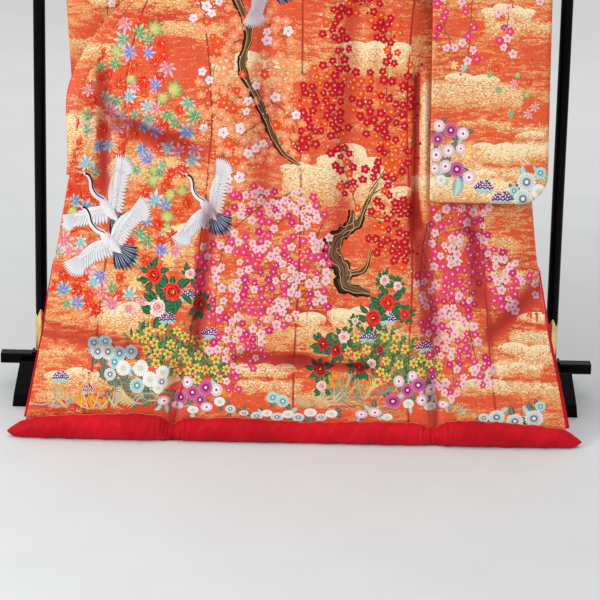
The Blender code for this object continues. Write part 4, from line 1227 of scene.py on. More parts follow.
def crane(middle, size, turn, wings, flip):
    # a crane in flight; wings: side of the body, the arm's two headings, the feathers' sweep and spread
    white, grey, navy, slate, black, red, horn, barb = craneTones
    spin = toward(turn) * size

    def at(u, v):
        return middle + complex(u, v * flip) * spin

    def ahead(spot, heading, length):
        a = radians(heading)
        return spot[0] + length * cos(a), spot[1] + length * sin(a)

    def strip(path, widths, tones, lift, ridge):
        blade("cranes", path, [size * w for w in widths], *tones, lift, ridge)

    def feather(root, heading, length, width, tones, lift, curl, steps=6):
        path = bend(at(*root), at(*ahead(root, heading, length)), curl * flip, steps)
        edge, mid, far = tones
        strip(path, taper(steps + 1, width, 0.62), (edge, mid, (far, mid)), lift, 0.12)

    for k in range(2):
        leg = bend(at(-0.10, -0.01 - 0.02 * k), at(-0.46, -0.045 - 0.03 * k), 0.03, 10)
        blade("cranes", leg, [0.0028 * size + 0.0004] * 11, barb, grey, barb, 0.7, 0.1)
    for k in range(11):
        # the dark tail
        share = k / 10
        swell = sin(pi * share)
        heading = 146 + 74 * share
        root = (-0.09 - 0.02 * swell, 0.05 - 0.10 * share)
        feather(root, heading, 0.20 + 0.06 * swell, 0.021, (navy, slate if k % 2 else navy, black),
                0.8 + 0.03 * k, 0.0)
        feather(root, heading + 4, 0.20, 0.0026, (white, grey, slate), 1.15 + 0.03 * k, 0.0)
    for side, upper, fore, sweep, spread in wings:
        root = (0.05, 0.035 * side)
        elbow = ahead(root, upper, 0.17)
        wrist = ahead(elbow, fore, 0.15)
        high = 1.25 if side > 0 else 1.0

        def onArm(share):
            # from shoulder to elbow and on to the wrist
            near, far, part = (root, elbow, share * 2) if share < 0.5 else (elbow, wrist, share * 2 - 1)
            return tuple(p + (q - p) * part for p, q in zip(near, far))

        for k in range(13):
            # the long feathers of the body half, from the shoulder out
            share = k / 12
            heading = sweep + (fore + side * spread - sweep) * share
            feather(onArm(share), heading, 0.19 + 0.03 * share, 0.019, (grey, white, white),
                    high + 0.02 * k, 0.04 * side)
            feather(onArm(share), heading + 4 * side, 0.185 + 0.03 * share, 0.0022, (barb, barb, black),
                    high + 0.30, 0.03 * side)
        for k in range(12):
            # the finger feathers of the hand
            share = k / 11
            heading = fore + side * (spread + 14) * (1 - share) - side * 8
            length = 0.235 + 0.045 * sin(pi * (0.2 + 0.7 * share))
            feather(wrist, heading, length, 0.0135, (grey, white, white), high + 0.28 + 0.02 * k,
                    0.08 * side, 8)
            feather(wrist, heading + 1.5 * side, 0.20, 0.0014, (barb, grey, barb), high + 0.55 + 0.02 * k,
                    0.08 * side, 8)
        for k in range(15):
            # short coverts over the arm
            share = k / 14
            heading = sweep + (fore + side * spread * 0.6 - sweep) * share
            feather(onArm(share), heading, 0.085 + 0.01 * (k % 2), 0.014, (grey, white, white),
                    high + 0.62 + 0.02 * k, 0.05 * side, 4)
        arm = through([at(*root), at(*elbow), at(*wrist)], 4)
        strip(arm, taper(len(arm), 0.022, 0.3, 0.35), (white, white, white), high + 1.0, 0.15)
    body = bend(at(-0.17, 0.0), at(0.20, 0.015), 0.04 * flip, 10)
    strip(body, taper(11, 0.062, 0.55), (white, white, grey), 2.0, 0.5)
    curve = ((0.13, 0.010), (0.22, 0.050), (0.31, 0.048), (0.39, 0.008), (0.46, -0.004), (0.50, 0.020))
    neck = through([at(u, v) for u, v in curve], 4)
    strip(neck, np.linspace(0.036, 0.012, len(neck)), (white, white, grey), 2.1, 0.3)
    throat = through([at(u - 0.004, v - 0.012) for u, v in curve], 4)
    strip(throat, np.linspace(0.005, 0.012, len(throat)), (black, black, black), 2.5, 0.05)
    flower("cranes", at(0.508, 0.026), size * 0.024, ((0, white, 2.7), (1.0, grey, 2.4)), 4, per=3)
    strip(bend(at(0.52, 0.032), at(0.625, 0.085), 0.02, 4), (0.010, 0.009, 0.006, 0.004, 0.001),
          (horn, horn, barb), 2.5, 0.15)
    flower("cranes", at(0.506, 0.044), size * 0.019, ((0, red, 3.0), (1.0, red, 2.7)), 4)


def trunk(points, widths):
    # an old plum trunk: rough edges, dark hollows and gold lines along the bark
    path = through(points, 8)
    last = len(path) - 1
    wide = np.interp(np.linspace(0, 1, last + 1), np.linspace(0, 1, len(widths)), widths)
    wide = [w * (1 + 0.16 * sin(k * 1.9) + 0.1 * sin(k * 0.83 + 1)) for k, w in enumerate(wide)]

    def beside(shares):
        # the path moved aside by a share of its half width at each place
        out = []
        for k, spot in enumerate(path):
            along = path[min(k + 1, last)] - path[max(k - 1, 0)]
            out.append(spot - 1j * along / abs(along) * wide[k] * shares[k])
        return out

    for lane, tone in enumerate((bark[1], bark[0], bark[0], bark[1], bark[2])):
        # five lanes of bark across the width
        edge = mix(tone, bark[2], 0.5)
        middle = beside([0.4 * lane - 0.8] * (last + 1))
        blade("trunks", middle, [0.21 * w for w in wide], (edge, tone), tone, edge,
              0.45 + 0.1 * (2 - abs(lane - 2)), 0.25)
    for lane, tone in ((-0.8, gold[1]), (-0.3, bark[2]), (0.35, gold[1]), (0.9, bark[2])):
        line = beside([lane + 0.15 * sin(k * 0.7 + lane * 9) for k in range(last + 1)])
        blade("trunks", line, [0.0007] * (last + 1), tone, tone, tone, 0.95, 0.1)


greenery = {"peonyLeaves": 12, "fernLeaves": 11, "fernWidth": 0.0021, "grassWidth": 0.0022}


def leafedPeony(x, z, size, kind):
    middle, leaves = complex(x, z), greenery["peonyLeaves"]
    if not room(middle, size * 1.25, 0.5):
        return
    turn = anyTurn()
    for k in range(leaves):
        out = toward(turn + circle * k / leaves + vary(-0.45, 0.45))
        side = out * toward(vary(-0.7, 0.7))
        tip = middle + size * (0.7 * out + vary(0.8, 1.5) * side)
        leaf(middle + 0.7 * size * out, tip, 0.29 * size, lift=0.15 + 0.05 * k)
    peony(middle, size, peonyKinds[kind])


def underLeaves(middle, size):
    for _ in range(2):
        out = toward(vary(0, circle))
        leaf(middle + 0.5 * size * out, middle + 1.75 * size * out, 0.36 * size,
             pick((tealLeaves, slateLeaves, slateLeaves)), 0.1, 0.1)


def thicket(x, z, reachX, reachZ, count, size):
    # yellow star flowers over green leaves
    for _ in range(count * 4):
        spot = complex(x + chance.gauss(0, reachX * 0.55), z + chance.gauss(0, reachZ * 0.62))
        tip = spot + size * vary(1.0, 1.8) * toward(vary(0.2, 2.9))
        leaf(spot, tip, 0.30 * size, pick((leafGreens, oliveGreens, oliveGreens)), lift=0.1)
    for _ in range(count * 8):
        offX, offZ = vary(-reachX, reachX), vary(-reachZ, reachZ)
        spot = complex(x + offX, z + offZ)
        if abs(complex((spot.real - x) / reachX, (spot.imag - z) / reachZ)) < 1 and room(spot, size, 0.92):
            dot, heart, petal, edge = blossomKinds["yellow"]
            low = 0.5 + 0.4 * chance.random()
            rings = ((0, dot, low + 0.1), (0.16, dot, low + 0.2), (0.3, heart, low + 0.3),
                     (0.82, petal, low + 0.3), (1.0, edge, low))
            flower("smallFlowers", spot, size, rings, 5 + chance.randint(0, 1), 0.48, 0.8,
                   turn=anyTurn(), per=4)


sprayLook = {
    "sizes": (0.0105, 0.0145), "gap": 0.74, "branch": 0.0015, "twig": 0.0009, "tip": 0.0005,
    "bud": 0.0042, "pollen": 0.0022, "wander": 0.0012,
}


def sprays(branches, spread, count, kinds, sizes=sprayLook["sizes"]):
    # blossoms crowd round the twigs of these branches, whose points are x and z in millimetres
    look = sprayLook
    spots = []
    for points in branches:
        path = [p + complex(vary(-1, 1), vary(-1, 1)) * look["wander"]
                for p in through([complex(*metres(*p)) for p in points], 7)]
        twig(path, look["branch"], look["branch"] * 0.45)
        spots += path
        for k in range(2, len(path) - 1, 2):
            ahead = (path[k + 1] - path[k]) / abs(path[k + 1] - path[k])
            off = ahead * toward(pick((-1, 1)) * vary(0.4, 1.0))
            tip = path[k] + off * vary(0.7, 1.5) * spread
            twig(bend(path[k], tip, 0.12, 4), look["twig"], look["tip"])
            spots.append(tip)
            bud(tip + off * 0.004, look["bud"], kinds[0])
    for _ in range(count * 14):
        if not count:
            break
        spot = pick(spots) + complex(chance.gauss(0, spread * 0.55), chance.gauss(0, spread * 0.55))
        size = vary(*sizes)
        x, z = spot.real, spot.imag
        # one kind of blossom gives way to the next in drifts, and some places stay thin
        tone = 0.5 + 0.27 * sin(38 * x + 3 * sin(21 * z))
        tone += 0.27 * sin(33 * z + 2 * sin(17 * x))
        tone = min(max(tone + vary(-0.22, 0.22), 0.0), 0.999)
        thin = sin(27 * x - 2.2 * sin(19 * z) + 1) * sin(31 * z + 1.7 * sin(23 * x))
        bare = ground == "body" and (0.324 < x < 0.392 and z > 0.47 or
                                     0.262 < x <= 0.324 and z > 0.70 and chance.random() < 0.7)
        if bare or thin < -0.30 - 0.5 * chance.random():
            continue
        if room(spot, size, look["gap"]):
            blossom(spot, size, kinds[int(tone * len(kinds))])
            dots(spot, 2.1 * size, 2.1 * size, 1, look["pollen"], pollen)
            count -= 1


def drift(places, count, sizes):
    # maple leaves blown across ellipses: middle x and z, reach in x and z, in millimetres
    for _ in range(count * 10):
        if not count:
            break
        x, z, reachX, reachZ = metres(*pick(places))
        spot, _ = inEllipse(complex(x, z), reachX, reachZ)
        size = vary(*sizes)
        if room(spot, size, 0.50):
            shade = 0.5 + 0.5 * sin(14 * spot.real + 23 * spot.imag + 2 * sin(31 * spot.real))
            tones = mapleTones[min(int((shade + vary(0, 0.5)) / 1.5 * len(mapleTones)), len(mapleTones) - 1)]
            mapleLeaf(spot, size, chance.random() * circle, tones)
            count -= 1


def bunch(x, z, size):
    # a fan of purple florets dotted white, over pale teal leaves
    middle = complex(x, z)
    room(middle, 1.2 * size, 0.3)
    for heading in (-168, -142, -112, -68, -38, -12):
        root = middle - 0.30j * size
        reach = (1.25 if abs(heading + 90) > 40 else 0.8) * size
        leaf(root, root + reach * toward(radians(heading)), 0.20 * size, tealLeaves, 0.1, 0.2)
    for row, (high, reach) in enumerate(((-0.30, 1.0), (-0.05, 0.85), (0.20, 0.62), (0.42, 0.32))):
        count = max(int(reach * 8), 2)
        for k in range(count):
            spot = middle + size * complex(reach * (2 * k / (count - 1) - 1), high + 0.1 * (k % 2))
            flower("smallFlowers", spot, 0.19 * size, ((0, dotTones[0], 0.9), (1.0, dotTones[1], 0.6)),
                   depth=0.1, turn=anyTurn(), per=3)
            dots(spot + 0.08j * size, 0.03 * size, 0.03 * size, 1, size * 0.11, dotTones[2:])


def grass(x, z, length, count, tones, fan):
    for k in range(count):
        heading = upwards + fan * (k / max(count - 1, 1) - 0.5) + vary(-0.16, 0.16)
        root = complex(x + vary(-0.03, 0.03), z)
        tip = root + length * vary(0.6, 1.0) * toward(heading)
        tone = pick(tones)
        path = bend(root, tip, vary(0.03, 0.14) * (1 if heading > upwards else -1), 9)
        widths = taper(10, greenery["grassWidth"], 0.25, 0.12)
        blade("leaves", path, widths, tone, mix(tone, gold[0], 0.4), tone, 0.7, 0.2)


def fern(x, z, length, heading, tones):
    # a frond: narrow leaves in pairs down a bowed stem
    root = complex(x, z)
    stem = bend(root, root + length * toward(radians(heading)), 0.16, greenery["fernLeaves"])
    tone = pick(tones)
    blade("leaves", stem, [0.0008] * len(stem), tone, tone, tone, 0.6, 0.1)
    for k in range(2, len(stem)):
        ahead = (stem[k] - stem[k - 1]) / abs(stem[k] - stem[k - 1])
        reach = 0.34 * length * sin(pi * (0.15 + 0.8 * k / len(stem)))
        for way in (1, -1):
            path = bend(stem[k], stem[k] + reach * ahead * toward(0.75 * way), -0.12 * way, 4)
            shade = mix(tone, pick(tones), 0.5)
            widths = taper(5, greenery["fernWidth"], 0.45, 0.1)
            blade("leaves", path, widths, (shade, tone), mix(tone, gold[0], 0.3), (shade, tone), 0.5, 0.15)


def mound(x, z, width, height, lines, tones):
    # ground drawn as nested wavy lines
    for n in range(lines):
        share = 1 - n / lines
        tone = tones[n % len(tones)]
        path = []
        for k in range(25):
            t = k / 24
            rise = sin(pi * t) ** 0.8 * height * share + 0.004 * sin(t * 11 + n * 0.9) * share
            aside = width * share * (t - 0.5)
            path.append(complex(x + aside + 0.01 * n * sin(n * 2.1), z + rise))
        blade("groundLines", path, taper(25, 0.0014, 0.5, 0.3), tone, tone, tone, 0.30 + 0.02 * n, 0.12)


def cloudCrest(x, z, width, height, bumps):
    # a gold cloud: round bumps along a crisp top, fading downwards into ragged ends
    half = width / bumps * 0.74
    heads = []
    for b in range(bumps):
        share = (b + 0.5) / bumps
        lift = 0.5 * height * sin(pi * share) * (1 + 0.3 * sin(b * 2.3 + x * 40))
        heads.append((x + width * (share - 0.5), z + lift))
    columns, rows = 14 * bumps, len(crestGilt)
    corners, faces = [], []
    for k in range(columns + 1):
        at = x - width / 2 - 0.1 * half + (width + 0.2 * half) * k / columns
        arcs = []
        for headX, headZ in heads:
            rise = 0.62 * sqrt(max(half * half - (at - headX) ** 2, 0.0))
            arcs.append((headZ + rise, abs(at - headX) < half))
        arcs.sort()
        top = max([arc for arc, inside in arcs if inside] or [z])
        crossed = bumps > 1 and arcs[-1][1] and arcs[-2][1]
        seam = min((arcs[-1][0] - arcs[-2][0]) / 0.006, 1.0) if crossed else 1.0
        thin = min(k, columns - k, 6) / 6
        foot = top - height * (0.35 + 0.9 * thin) * (1.0 + 0.3 * chance.random())
        for row, gilt in enumerate(crestGilt):
            t = row / (rows - 1)
            gilt = gilt * (0.72 + 0.28 * seam) if t > 0.7 else gilt
            corners.append((complex(at, foot + (top - foot) * t), (gilt,) * 3, 0.14))
        if k:
            for c in range(rows * k - rows, rows * k - 1):
                faces += [(c, c + rows, c + rows + 1), (c, c + rows + 1, c + 1)]
    add("cloudCrests", corners, faces)


peonyKinds = {
    "red": inks((150, 4, 14), (228, 24, 24), (250, 214, 110), (246, 96, 70)),
    "crimson": inks((104, 2, 14), (186, 8, 24), (250, 214, 110), (222, 58, 56)),
    "blush": inks((214, 110, 116), (246, 204, 196), (240, 190, 96), (254, 244, 236)),
}
chrysanthemumKinds = {
    "teal": inks((240, 240, 236), (70, 142, 152), (150, 206, 208), (232, 242, 238)),
    "white": inks((226, 210, 150), (206, 212, 206), (236, 238, 232), (250, 250, 246)),
    "magenta": inks((250, 220, 232), (122, 16, 82), (192, 56, 136), (226, 150, 190)),
    "rimmed": inks((196, 50, 110), (246, 240, 240), (242, 232, 236), (206, 130, 160)),
    "slate": inks((240, 240, 236), (84, 106, 124), (204, 218, 214), (242, 246, 240)),
}
slateLeaves = inks((52, 74, 66), (84, 108, 92), (34, 50, 48), (120, 140, 116))
tealLeaves = inks((120, 176, 170), (150, 196, 190), (90, 150, 146), (196, 220, 212))
dotTones = inks((88, 22, 112), (110, 34, 132), (244, 240, 246), (236, 230, 242))
pollen = inks((254, 240, 200), (250, 222, 160), (255, 255, 250))
reeds = inks((150, 186, 160), (110, 156, 140), (190, 196, 150), (140, 170, 176))
darkReeds = inks((20, 96, 84), (40, 120, 110), (90, 156, 150), (150, 186, 160))
lilies = inks((240, 150, 30), (246, 184, 50), (232, 110, 24), (250, 210, 90))
sand = inks((196, 170, 120), (150, 132, 110), (226, 196, 140), (120, 116, 112))
crestGilt = (0.05, 0.28, 0.40, 0.50, 0.62, 0.76, 0.95, 1.00)  # gold from a cloud's foot to its top

weepingPinks = ("hotPink", "palePink", "hotPink", "palePink", "magenta", "palePink")
plumReds = ("crimson", "vermilion", "crimson", "crimson", "vermilion", "crimson")
peaches = ("peach", "white", "peach", "peach", "vermilion", "peach")


ground = "body"
# from here on, the figures' places and sizes are in millimetres
for *where, bumps in (
        (5, 752, 120, 26, 3), (150, 760, 190, 80, 3), (272, 680, 120, 34, 2), (-540, 330, 130, 44, 2),
        (-440, 350, 140, 30, 3), (190, 330, 190, 50, 3), (712, 312, 110, 26, 1), (680, 240, 160, 28, 2),
        (610, 178, 190, 26, 2), (40, 300, 80, 40, 1), (-90, 180, 170, 26, 3), (-640, 150, 190, 26, 3),
        (-350, 560, 110, 50, 2), (-160, 1030, 200, 60, 3), (220, 1085, 190, 60, 3), (60, 1310, 220, 64, 3),
        (-230, 1400, 180, 56, 3), (235, 1560, 170, 56, 3), (-90, 1600, 200, 56, 3), (-560, 860, 120, 40, 2),
        (450, 300, 130, 36, 2), (560, 150, 120, 24, 2)):
    cloudCrest(*metres(*where), bumps)

# birds, trunks and large flowers take their places first
bothWings = ((1, 82, 104, 166, 52), (-1, -58, -82, -160, 54))
craneRoom = (0.0, 0.10, -0.05, -0.10, -0.14, 0.05j, 0.10j, -0.05j, -0.10j, -0.07 + 0.04j, -0.07 - 0.04j)
for x, z, size, turn, wings, flip in (
        (-556, 640, 250, 126, ((1, 62, 70, 150, 40), (-1, -36, -50, -158, 54)), 1),
        (-548, 548, 262, 132, ((1, 66, 84, 158, 50), (-1, -66, -88, -166, 56)), 1),
        (-262, 645, 236, 124, ((1, 92, 104, 168, 46), (-1, -40, -46, -158, 50)), 1),
        (130, 1440, 260, 36, bothWings, -1), (-100, 1300, 250, 150, bothWings, 1)):
    x, z, size = metres(x, z, size)
    turn = radians(turn)
    middle = complex(x, z)
    for out in craneRoom:
        placed.setdefault(cellOf(middle), []).append((middle + out * size / 0.22 * toward(turn), 0.036))
    crane(middle, size, turn, wings, flip)
for points, widths in (
        (((-225, 1300), (-160, 1160), (-175, 1050), (-118, 940), (-85, 865), (-52, 812), (0, 776)),
         (14, 12, 13, 14, 12, 9, 3)),
        (((156, 650), (148, 602), (104, 560), (100, 520), (134, 480), (138, 438), (215, 418)),
         (8, 14, 26, 24, 24, 24, 8)),
        (((128, 585), (176, 615), (196, 668), (232, 730)), (20, 12, 6, 2)),
        (((150, 470), (196, 486), (214, 540)), (12, 7, 3))):
    points = [complex(*metres(*p)) for p in points]
    trunk(points, metres(*widths))
    for spot in through(points, 3):
        take(spot, 0.010)
for *where, kind in (
        (-424, 456, 27, "red"), (-366, 410, 31, "red"), (-410, 368, 29, "blush"),
        (-284, 374, 25, "crimson"), (-316, 462, 17, "blush"), (-486, 474, 14, "crimson"),
        (212, 424, 27, "blush"), (256, 456, 17, "blush"), (268, 392, 27, "red"), (226, 350, 27, "red"),
        (80, 274, 21, "crimson"), (116, 258, 21, "crimson"), (140, 294, 19, "blush"),
        (72, 202, 21, "crimson"), (188, 208, 21, "crimson"), (78, 156, 19, "blush"),
        (224, 222, 16, "blush"), (318, 360, 18, "red"), (172, 340, 12, "blush"), (296, 440, 15, "blush"),
        (246, 262, 12, "crimson")):
    leafedPeony(*metres(*where), kind)
for *where, kind, squash in (row if len(row) > 4 else (*row, 1.0) for row in (
        (-596, 262, 19, "teal"), (-562, 268, 20, "teal"), (-584, 238, 20, "slate"),
        (-554, 238, 21, "slate"), (-520, 234, 21, "teal"), (-534, 212, 19, "teal"), (-486, 240, 20, "teal"),
        (-508, 196, 22, "white"), (-546, 178, 18, "slate"), (-456, 196, 23, "white"),
        (-428, 166, 23, "white"), (-466, 148, 22, "teal"), (-392, 186, 20, "white"),
        (-394, 160, 18, "slate"), (-404, 142, 16, "white"), (-302, 132, 21, "magenta"),
        (-264, 146, 22, "magenta"), (-318, 160, 18, "rimmed"), (-232, 140, 20, "rimmed"),
        (-336, 116, 20, "magenta"), (-280, 112, 19, "magenta"), (-386, 106, 21, "rimmed", 0.6),
        (-346, 94, 20, "rimmed", 0.6), (-260, 92, 20, "rimmed", 0.7), (-222, 108, 17, "white", 0.8),
        (-300, 84, 18, "white", 0.6), (288, 118, 26, "magenta", 0.8), (330, 150, 21, "magenta"),
        (304, 174, 18, "rimmed"), (362, 166, 21, "magenta"), (398, 150, 18, "rimmed"),
        (344, 190, 16, "rimmed"), (374, 124, 19, "rimmed", 0.9), (334, 112, 17, "white", 0.8),
        (404, 188, 14, "magenta"), (-66, 122, 18, "teal", 0.9), (-36, 112, 19, "teal", 0.9),
        (-150, 78, 15, "slate", 0.5), (-112, 70, 19, "slate", 0.6), (-82, 78, 17, "white", 0.6),
        (-52, 68, 20, "slate", 0.6), (-20, 76, 19, "white", 0.6), (10, 68, 20, "slate", 0.6),
        (46, 82, 20, "white", 0.6), (78, 70, 17, "slate", 0.6), (108, 80, 19, "white", 0.6),
        (196, 80, 20, "rimmed", 0.6), (236, 86, 22, "rimmed", 0.6), (272, 74, 17, "white", 0.6),
        (556, 78, 16, "slate", 0.8), (594, 80, 25, "slate", 0.8), (648, 70, 26, "slate", 0.8),
        (704, 78, 28, "slate", 0.85), (722, 112, 16, "teal", 0.9), (398, 104, 20, "white", 0.6),
        (436, 112, 19, "rimmed", 0.6), (-190, 88, 16, "slate", 0.7))):
    chrysanthemum(*metres(*where), kind, squash)
for *where, count in ((-520, 176, 50, 26, 26), (-470, 128, 60, 20, 26), (-420, 128, 40, 14, 14),
                      (-566, 212, 30, 30, 12)):
    x, z, reachX, reachZ = metres(*where)
    for _ in range(count):
        spot = complex(x + chance.gauss(0, reachX * 0.6), z + chance.gauss(0, reachZ * 0.6))
        out = vary(0.016, 0.028) * toward(vary(-2.6, 5.6))
        leaf(spot, spot + out, 0.0080, slateLeaves, lift=0.05, serrate=0.18)
for place in ((-325, 408, 21), (-382, 340, 22), (-255, 300, 21), (268, 352, 22), (210, 300, 21),
              (-692, 172, 21), (-612, 138, 18), (378, 275, 21)):
    bunch(*metres(*place))
for *where, count, size in (
        (-408, 290, 75, 30, 17, 13.8), (-355, 252, 90, 36, 24, 13.8), (-318, 206, 95, 40, 30, 13.8),
        (-236, 186, 40, 30, 9, 13.0), (236, 282, 70, 28, 18, 13.5), (300, 250, 75, 34, 22, 13.5),
        (290, 196, 80, 36, 26, 13.0), (378, 206, 60, 40, 20, 12.8), (176, 262, 40, 20, 7, 12.5)):
    thicket(*metres(*where), count, size / 1000)
for *where, count, tones, fan in (
        (-690, 84, 90, 5, reeds, 1.9), (-600, 80, 80, 4, reeds, 1.9), (-548, 82, 85, 5, reeds, 1.6),
        (-710, 96, 80, 3, reeds, 2.9), (-500, 86, 60, 3, reeds, 1.4), (140, 130, 95, 11, darkReeds, 1.5),
        (190, 118, 85, 9, darkReeds, 1.6), (100, 112, 60, 6, reeds, 1.6), (430, 90, 60, 6, reeds, 1.6),
        (-640, 82, 60, 5, lilies, 1.2), (500, 84, 45, 5, reeds, 1.9)):
    grass(*metres(*where), count, tones, fan)
for *where, heading in (
        (-450, 98, 80, 150), (-430, 104, 85, 120), (-410, 98, 80, 62), (-390, 128, 60, 40),
        (-470, 112, 60, 170), (120, 104, 75, 150), (160, 100, 80, 115), (205, 104, 80, 60),
        (240, 120, 60, 35), (60, 108, 55, 165), (470, 92, 50, 120)):
    fern(*metres(*where), heading, sand)
for *where, count in ((-622, 120, 34, 24, 34), (-580, 98, 30, 16, 26), (108, 168, 34, 20, 26),
                      (150, 150, 30, 18, 22), (200, 160, 26, 16, 14), (434, 128, 24, 16, 14),
                      (-206, 132, 18, 12, 10)):
    x, z, reachX, reachZ = metres(*where)
    for _ in range(count):
        spot, turn = inEllipse(complex(x, z), reachX, reachZ)
        size = vary(0.006, 0.0095)
        rings = ((0, lilies[2], 0.9), (0.3, lilies[0], 0.8), (1.0, pick(lilies), 0.5))
        flower("smallFlowers", spot, size, rings, 5, 0.62, turn=turn)
for *where, lines in ((-420, 98, 190, 34, 9), (120, 94, 230, 36, 10), (250, 82, 160, 22, 7),
                      (-300, 82, 120, 18, 5)):
    mound(*metres(*where), lines, sand)

sprays((((-20, 700), (-100, 660), (-180, 600), (-225, 520), (-240, 400), (-235, 260)),
        ((20, 670), (-70, 600), (-140, 520), (-175, 400), (-180, 270), (-175, 160)),
        ((50, 650), (-20, 560), (-80, 470), (-110, 360), (-115, 240)),
        ((70, 610), (30, 520), (-20, 440), (-45, 340)),
        ((50, 650), (-60, 680), (-150, 685), (-215, 660), (-250, 600)), ((80, 570), (70, 480), (50, 400)),
        ((-245, 560), (-275, 470), (-285, 420)), ((-200, 340), (-215, 200), (-210, 165))),
       0.020, 270, weepingPinks)
sprays((((440, 700), (415, 600), (400, 480), (395, 360), (400, 270)),
        ((500, 700), (475, 600), (455, 480), (450, 360), (455, 240), (470, 160)),
        ((560, 700), (540, 600), (515, 500), (505, 400), (510, 300)),
        ((520, 580), (570, 500), (600, 420), (615, 400)), ((600, 520), (650, 460), (690, 450)),
        ((510, 320), (530, 240), (560, 190)), ((380, 620), (365, 520), (360, 440)),
        ((400, 270), (430, 180), (460, 130))),
       0.020, 215, weepingPinks)
sprays((((205, 705), (262, 800), (250, 960), (262, 1180)),
        ((170, 660), (130, 780), (100, 920), (110, 1060), (80, 1200)),
        ((200, 690), (280, 740), (325, 820), (330, 950)), ((190, 640), (260, 630), (320, 660)),
        ((255, 840), (200, 920), (170, 1020)), ((262, 900), (310, 980), (335, 1080)),
        ((100, 920), (45, 900), (20, 840)), ((110, 1000), (50, 1020), (15, 970)),
        ((240, 560), (290, 550), (325, 520)), ((260, 1100), (220, 1200), (160, 1260))),
       0.024, 240, plumReds, (0.0115, 0.0150))
sprays((((-100, 900), (-170, 860), (-225, 800), (-250, 760)), ((-140, 980), (-200, 950), (-245, 880)),
        ((-70, 840), (-130, 790), (-200, 745)), ((-120, 960), (-60, 940), (-20, 880), (-15, 820)),
        ((-150, 1030), (-80, 1050), (-30, 1020)), ((-175, 1130), (-235, 1100), (-262, 1020), (-265, 940)),
        ((-190, 1200), (-110, 1180), (-50, 1130)), ((-200, 1280), (-270, 1240), (-290, 1170))),
       0.024, 220, peaches, (0.013, 0.0175))
drift(((-600, 920, 110, 120), (-420, 860, 120, 140), (-640, 500, 90, 160), (-400, 620, 80, 120),
       (-580, 400, 130, 60), (-660, 700, 60, 120), (-500, 1060, 120, 120), (-440, 540, 100, 60)),
      300, (0.024, 0.040))
sprays((((330, 1740), (240, 1680), (140, 1660), (50, 1600)), ((240, 1680), (220, 1580), (250, 1490)),
        ((-340, 1720), (-260, 1640), (-200, 1560), (-190, 1460)),
        ((-260, 1640), (-140, 1660), (-50, 1680)), ((320, 1300), (260, 1360), (220, 1440)),
        ((-310, 1340), (-250, 1420), (-270, 1520))),
       0.022, 125, ("palePink", "hotPink", "peach", "crimson", "white"))

# both sleeves, on the side towards the viewer and, more sparsely, on the other
sleeveCrests = (
    (500, 1010, 150, 26, 2), (570, 828, 120, 22, 2), (680, 846, 90, 18, 1), (510, 750, 130, 20, 2),
    (600, 1220, 150, 30, 4), (500, 1520, 150, 30, 4),
)
sleeveFlowers = (
    (405, 905, 19, "rimmed"), (440, 893, 22, "magenta"), (476, 884, 19, "rimmed"), (402, 868, 19, "magenta"),
    (398, 824, 21, "rimmed"), (434, 836, 20, "rimmed"), (470, 842, 16, "rimmed"), (394, 786, 18, "rimmed"),
    (426, 792, 20, "rimmed"), (460, 784, 24, "magenta"), (496, 762, 21, "rimmed"), (414, 754, 14, "white"),
    (664, 755, 28, "slate"), (654, 708, 28, "slate"), (700, 728, 22, "white"), (628, 730, 15, "teal"),
    (704, 780, 17, "teal"),
)
sleeveTwigs = (
    ((690, 1660), (600, 1580), (530, 1460), (500, 1320), (490, 1180), (485, 1060)),
    ((600, 1580), (620, 1460), (610, 1340), (600, 1220), (600, 1120)),
    ((690, 1660), (680, 1520), (685, 1400), (680, 1280)),
    ((530, 1460), (450, 1400), (420, 1280), (415, 1160)),
)
for ground, sign, blossoms, leaves in (("sleeveRight", 1, 92, 22), ("sleeveLeft", -1, 92, 22),
                                       ("sleeveRightFront", 1, 58, 14), ("sleeveLeftFront", -1, 58, 14)):
    inward = 0 if sign > 0 else 38  # the left sleeve hangs nearer the middle
    for x, z, width, height, bumps in sleeveCrests:
        cloudCrest(*metres(sign * (x - inward), z, width, height), bumps)
    for x, z, size, kind in sleeveFlowers:
        chrysanthemum(*metres(sign * (x - inward), z, size), kind)
    for x, z, size in ((540, 742, 24), (592, 712, 25)):
        bunch(*metres(sign * (x - inward), z, size))
    grass(*metres(sign * (500 - inward), 815, 50), 6, lilies, 2.2)
    dots(complex(*metres(sign * (505 - inward), 830)), 0.024, 0.016, 18, 0.007, lilies)
    root, tip = (complex(*metres(sign * (x - inward), z)) for x, z in ((462, 765), (452, 708)))
    leaf(root, tip, 0.016, tealLeaves)
    rows = [[(sign * (x - inward * 0.6), z) for x, z in row] for row in sleeveTwigs]
    sprays(rows, 0.021, blossoms, weepingPinks if sign > 0 else peaches)
    drift([(sign * (x - inward), z, 70, 50) for x, z in ((480, 1620), (620, 1040), (450, 1060), (660, 980))],
          leaves, (0.015, 0.021))
ground = "shoulders"
sprays((((340, 1700), (250, 1620), (240, 1520)), ((250, 1620), (180, 1660), (130, 1690)),
        ((-340, 1700), (-250, 1620), (-240, 1520)), ((-250, 1620), (-180, 1660), (-130, 1690)),
        ((320, 1580), (300, 1460), (330, 1380)), ((-320, 1580), (-300, 1460), (-330, 1380))),
       0.020, 70, ("peach", "crimson", "palePink", "hotPink"))
print("figures drawn:", sum(len(faces) for _, faces in drawn.values()), "faces")


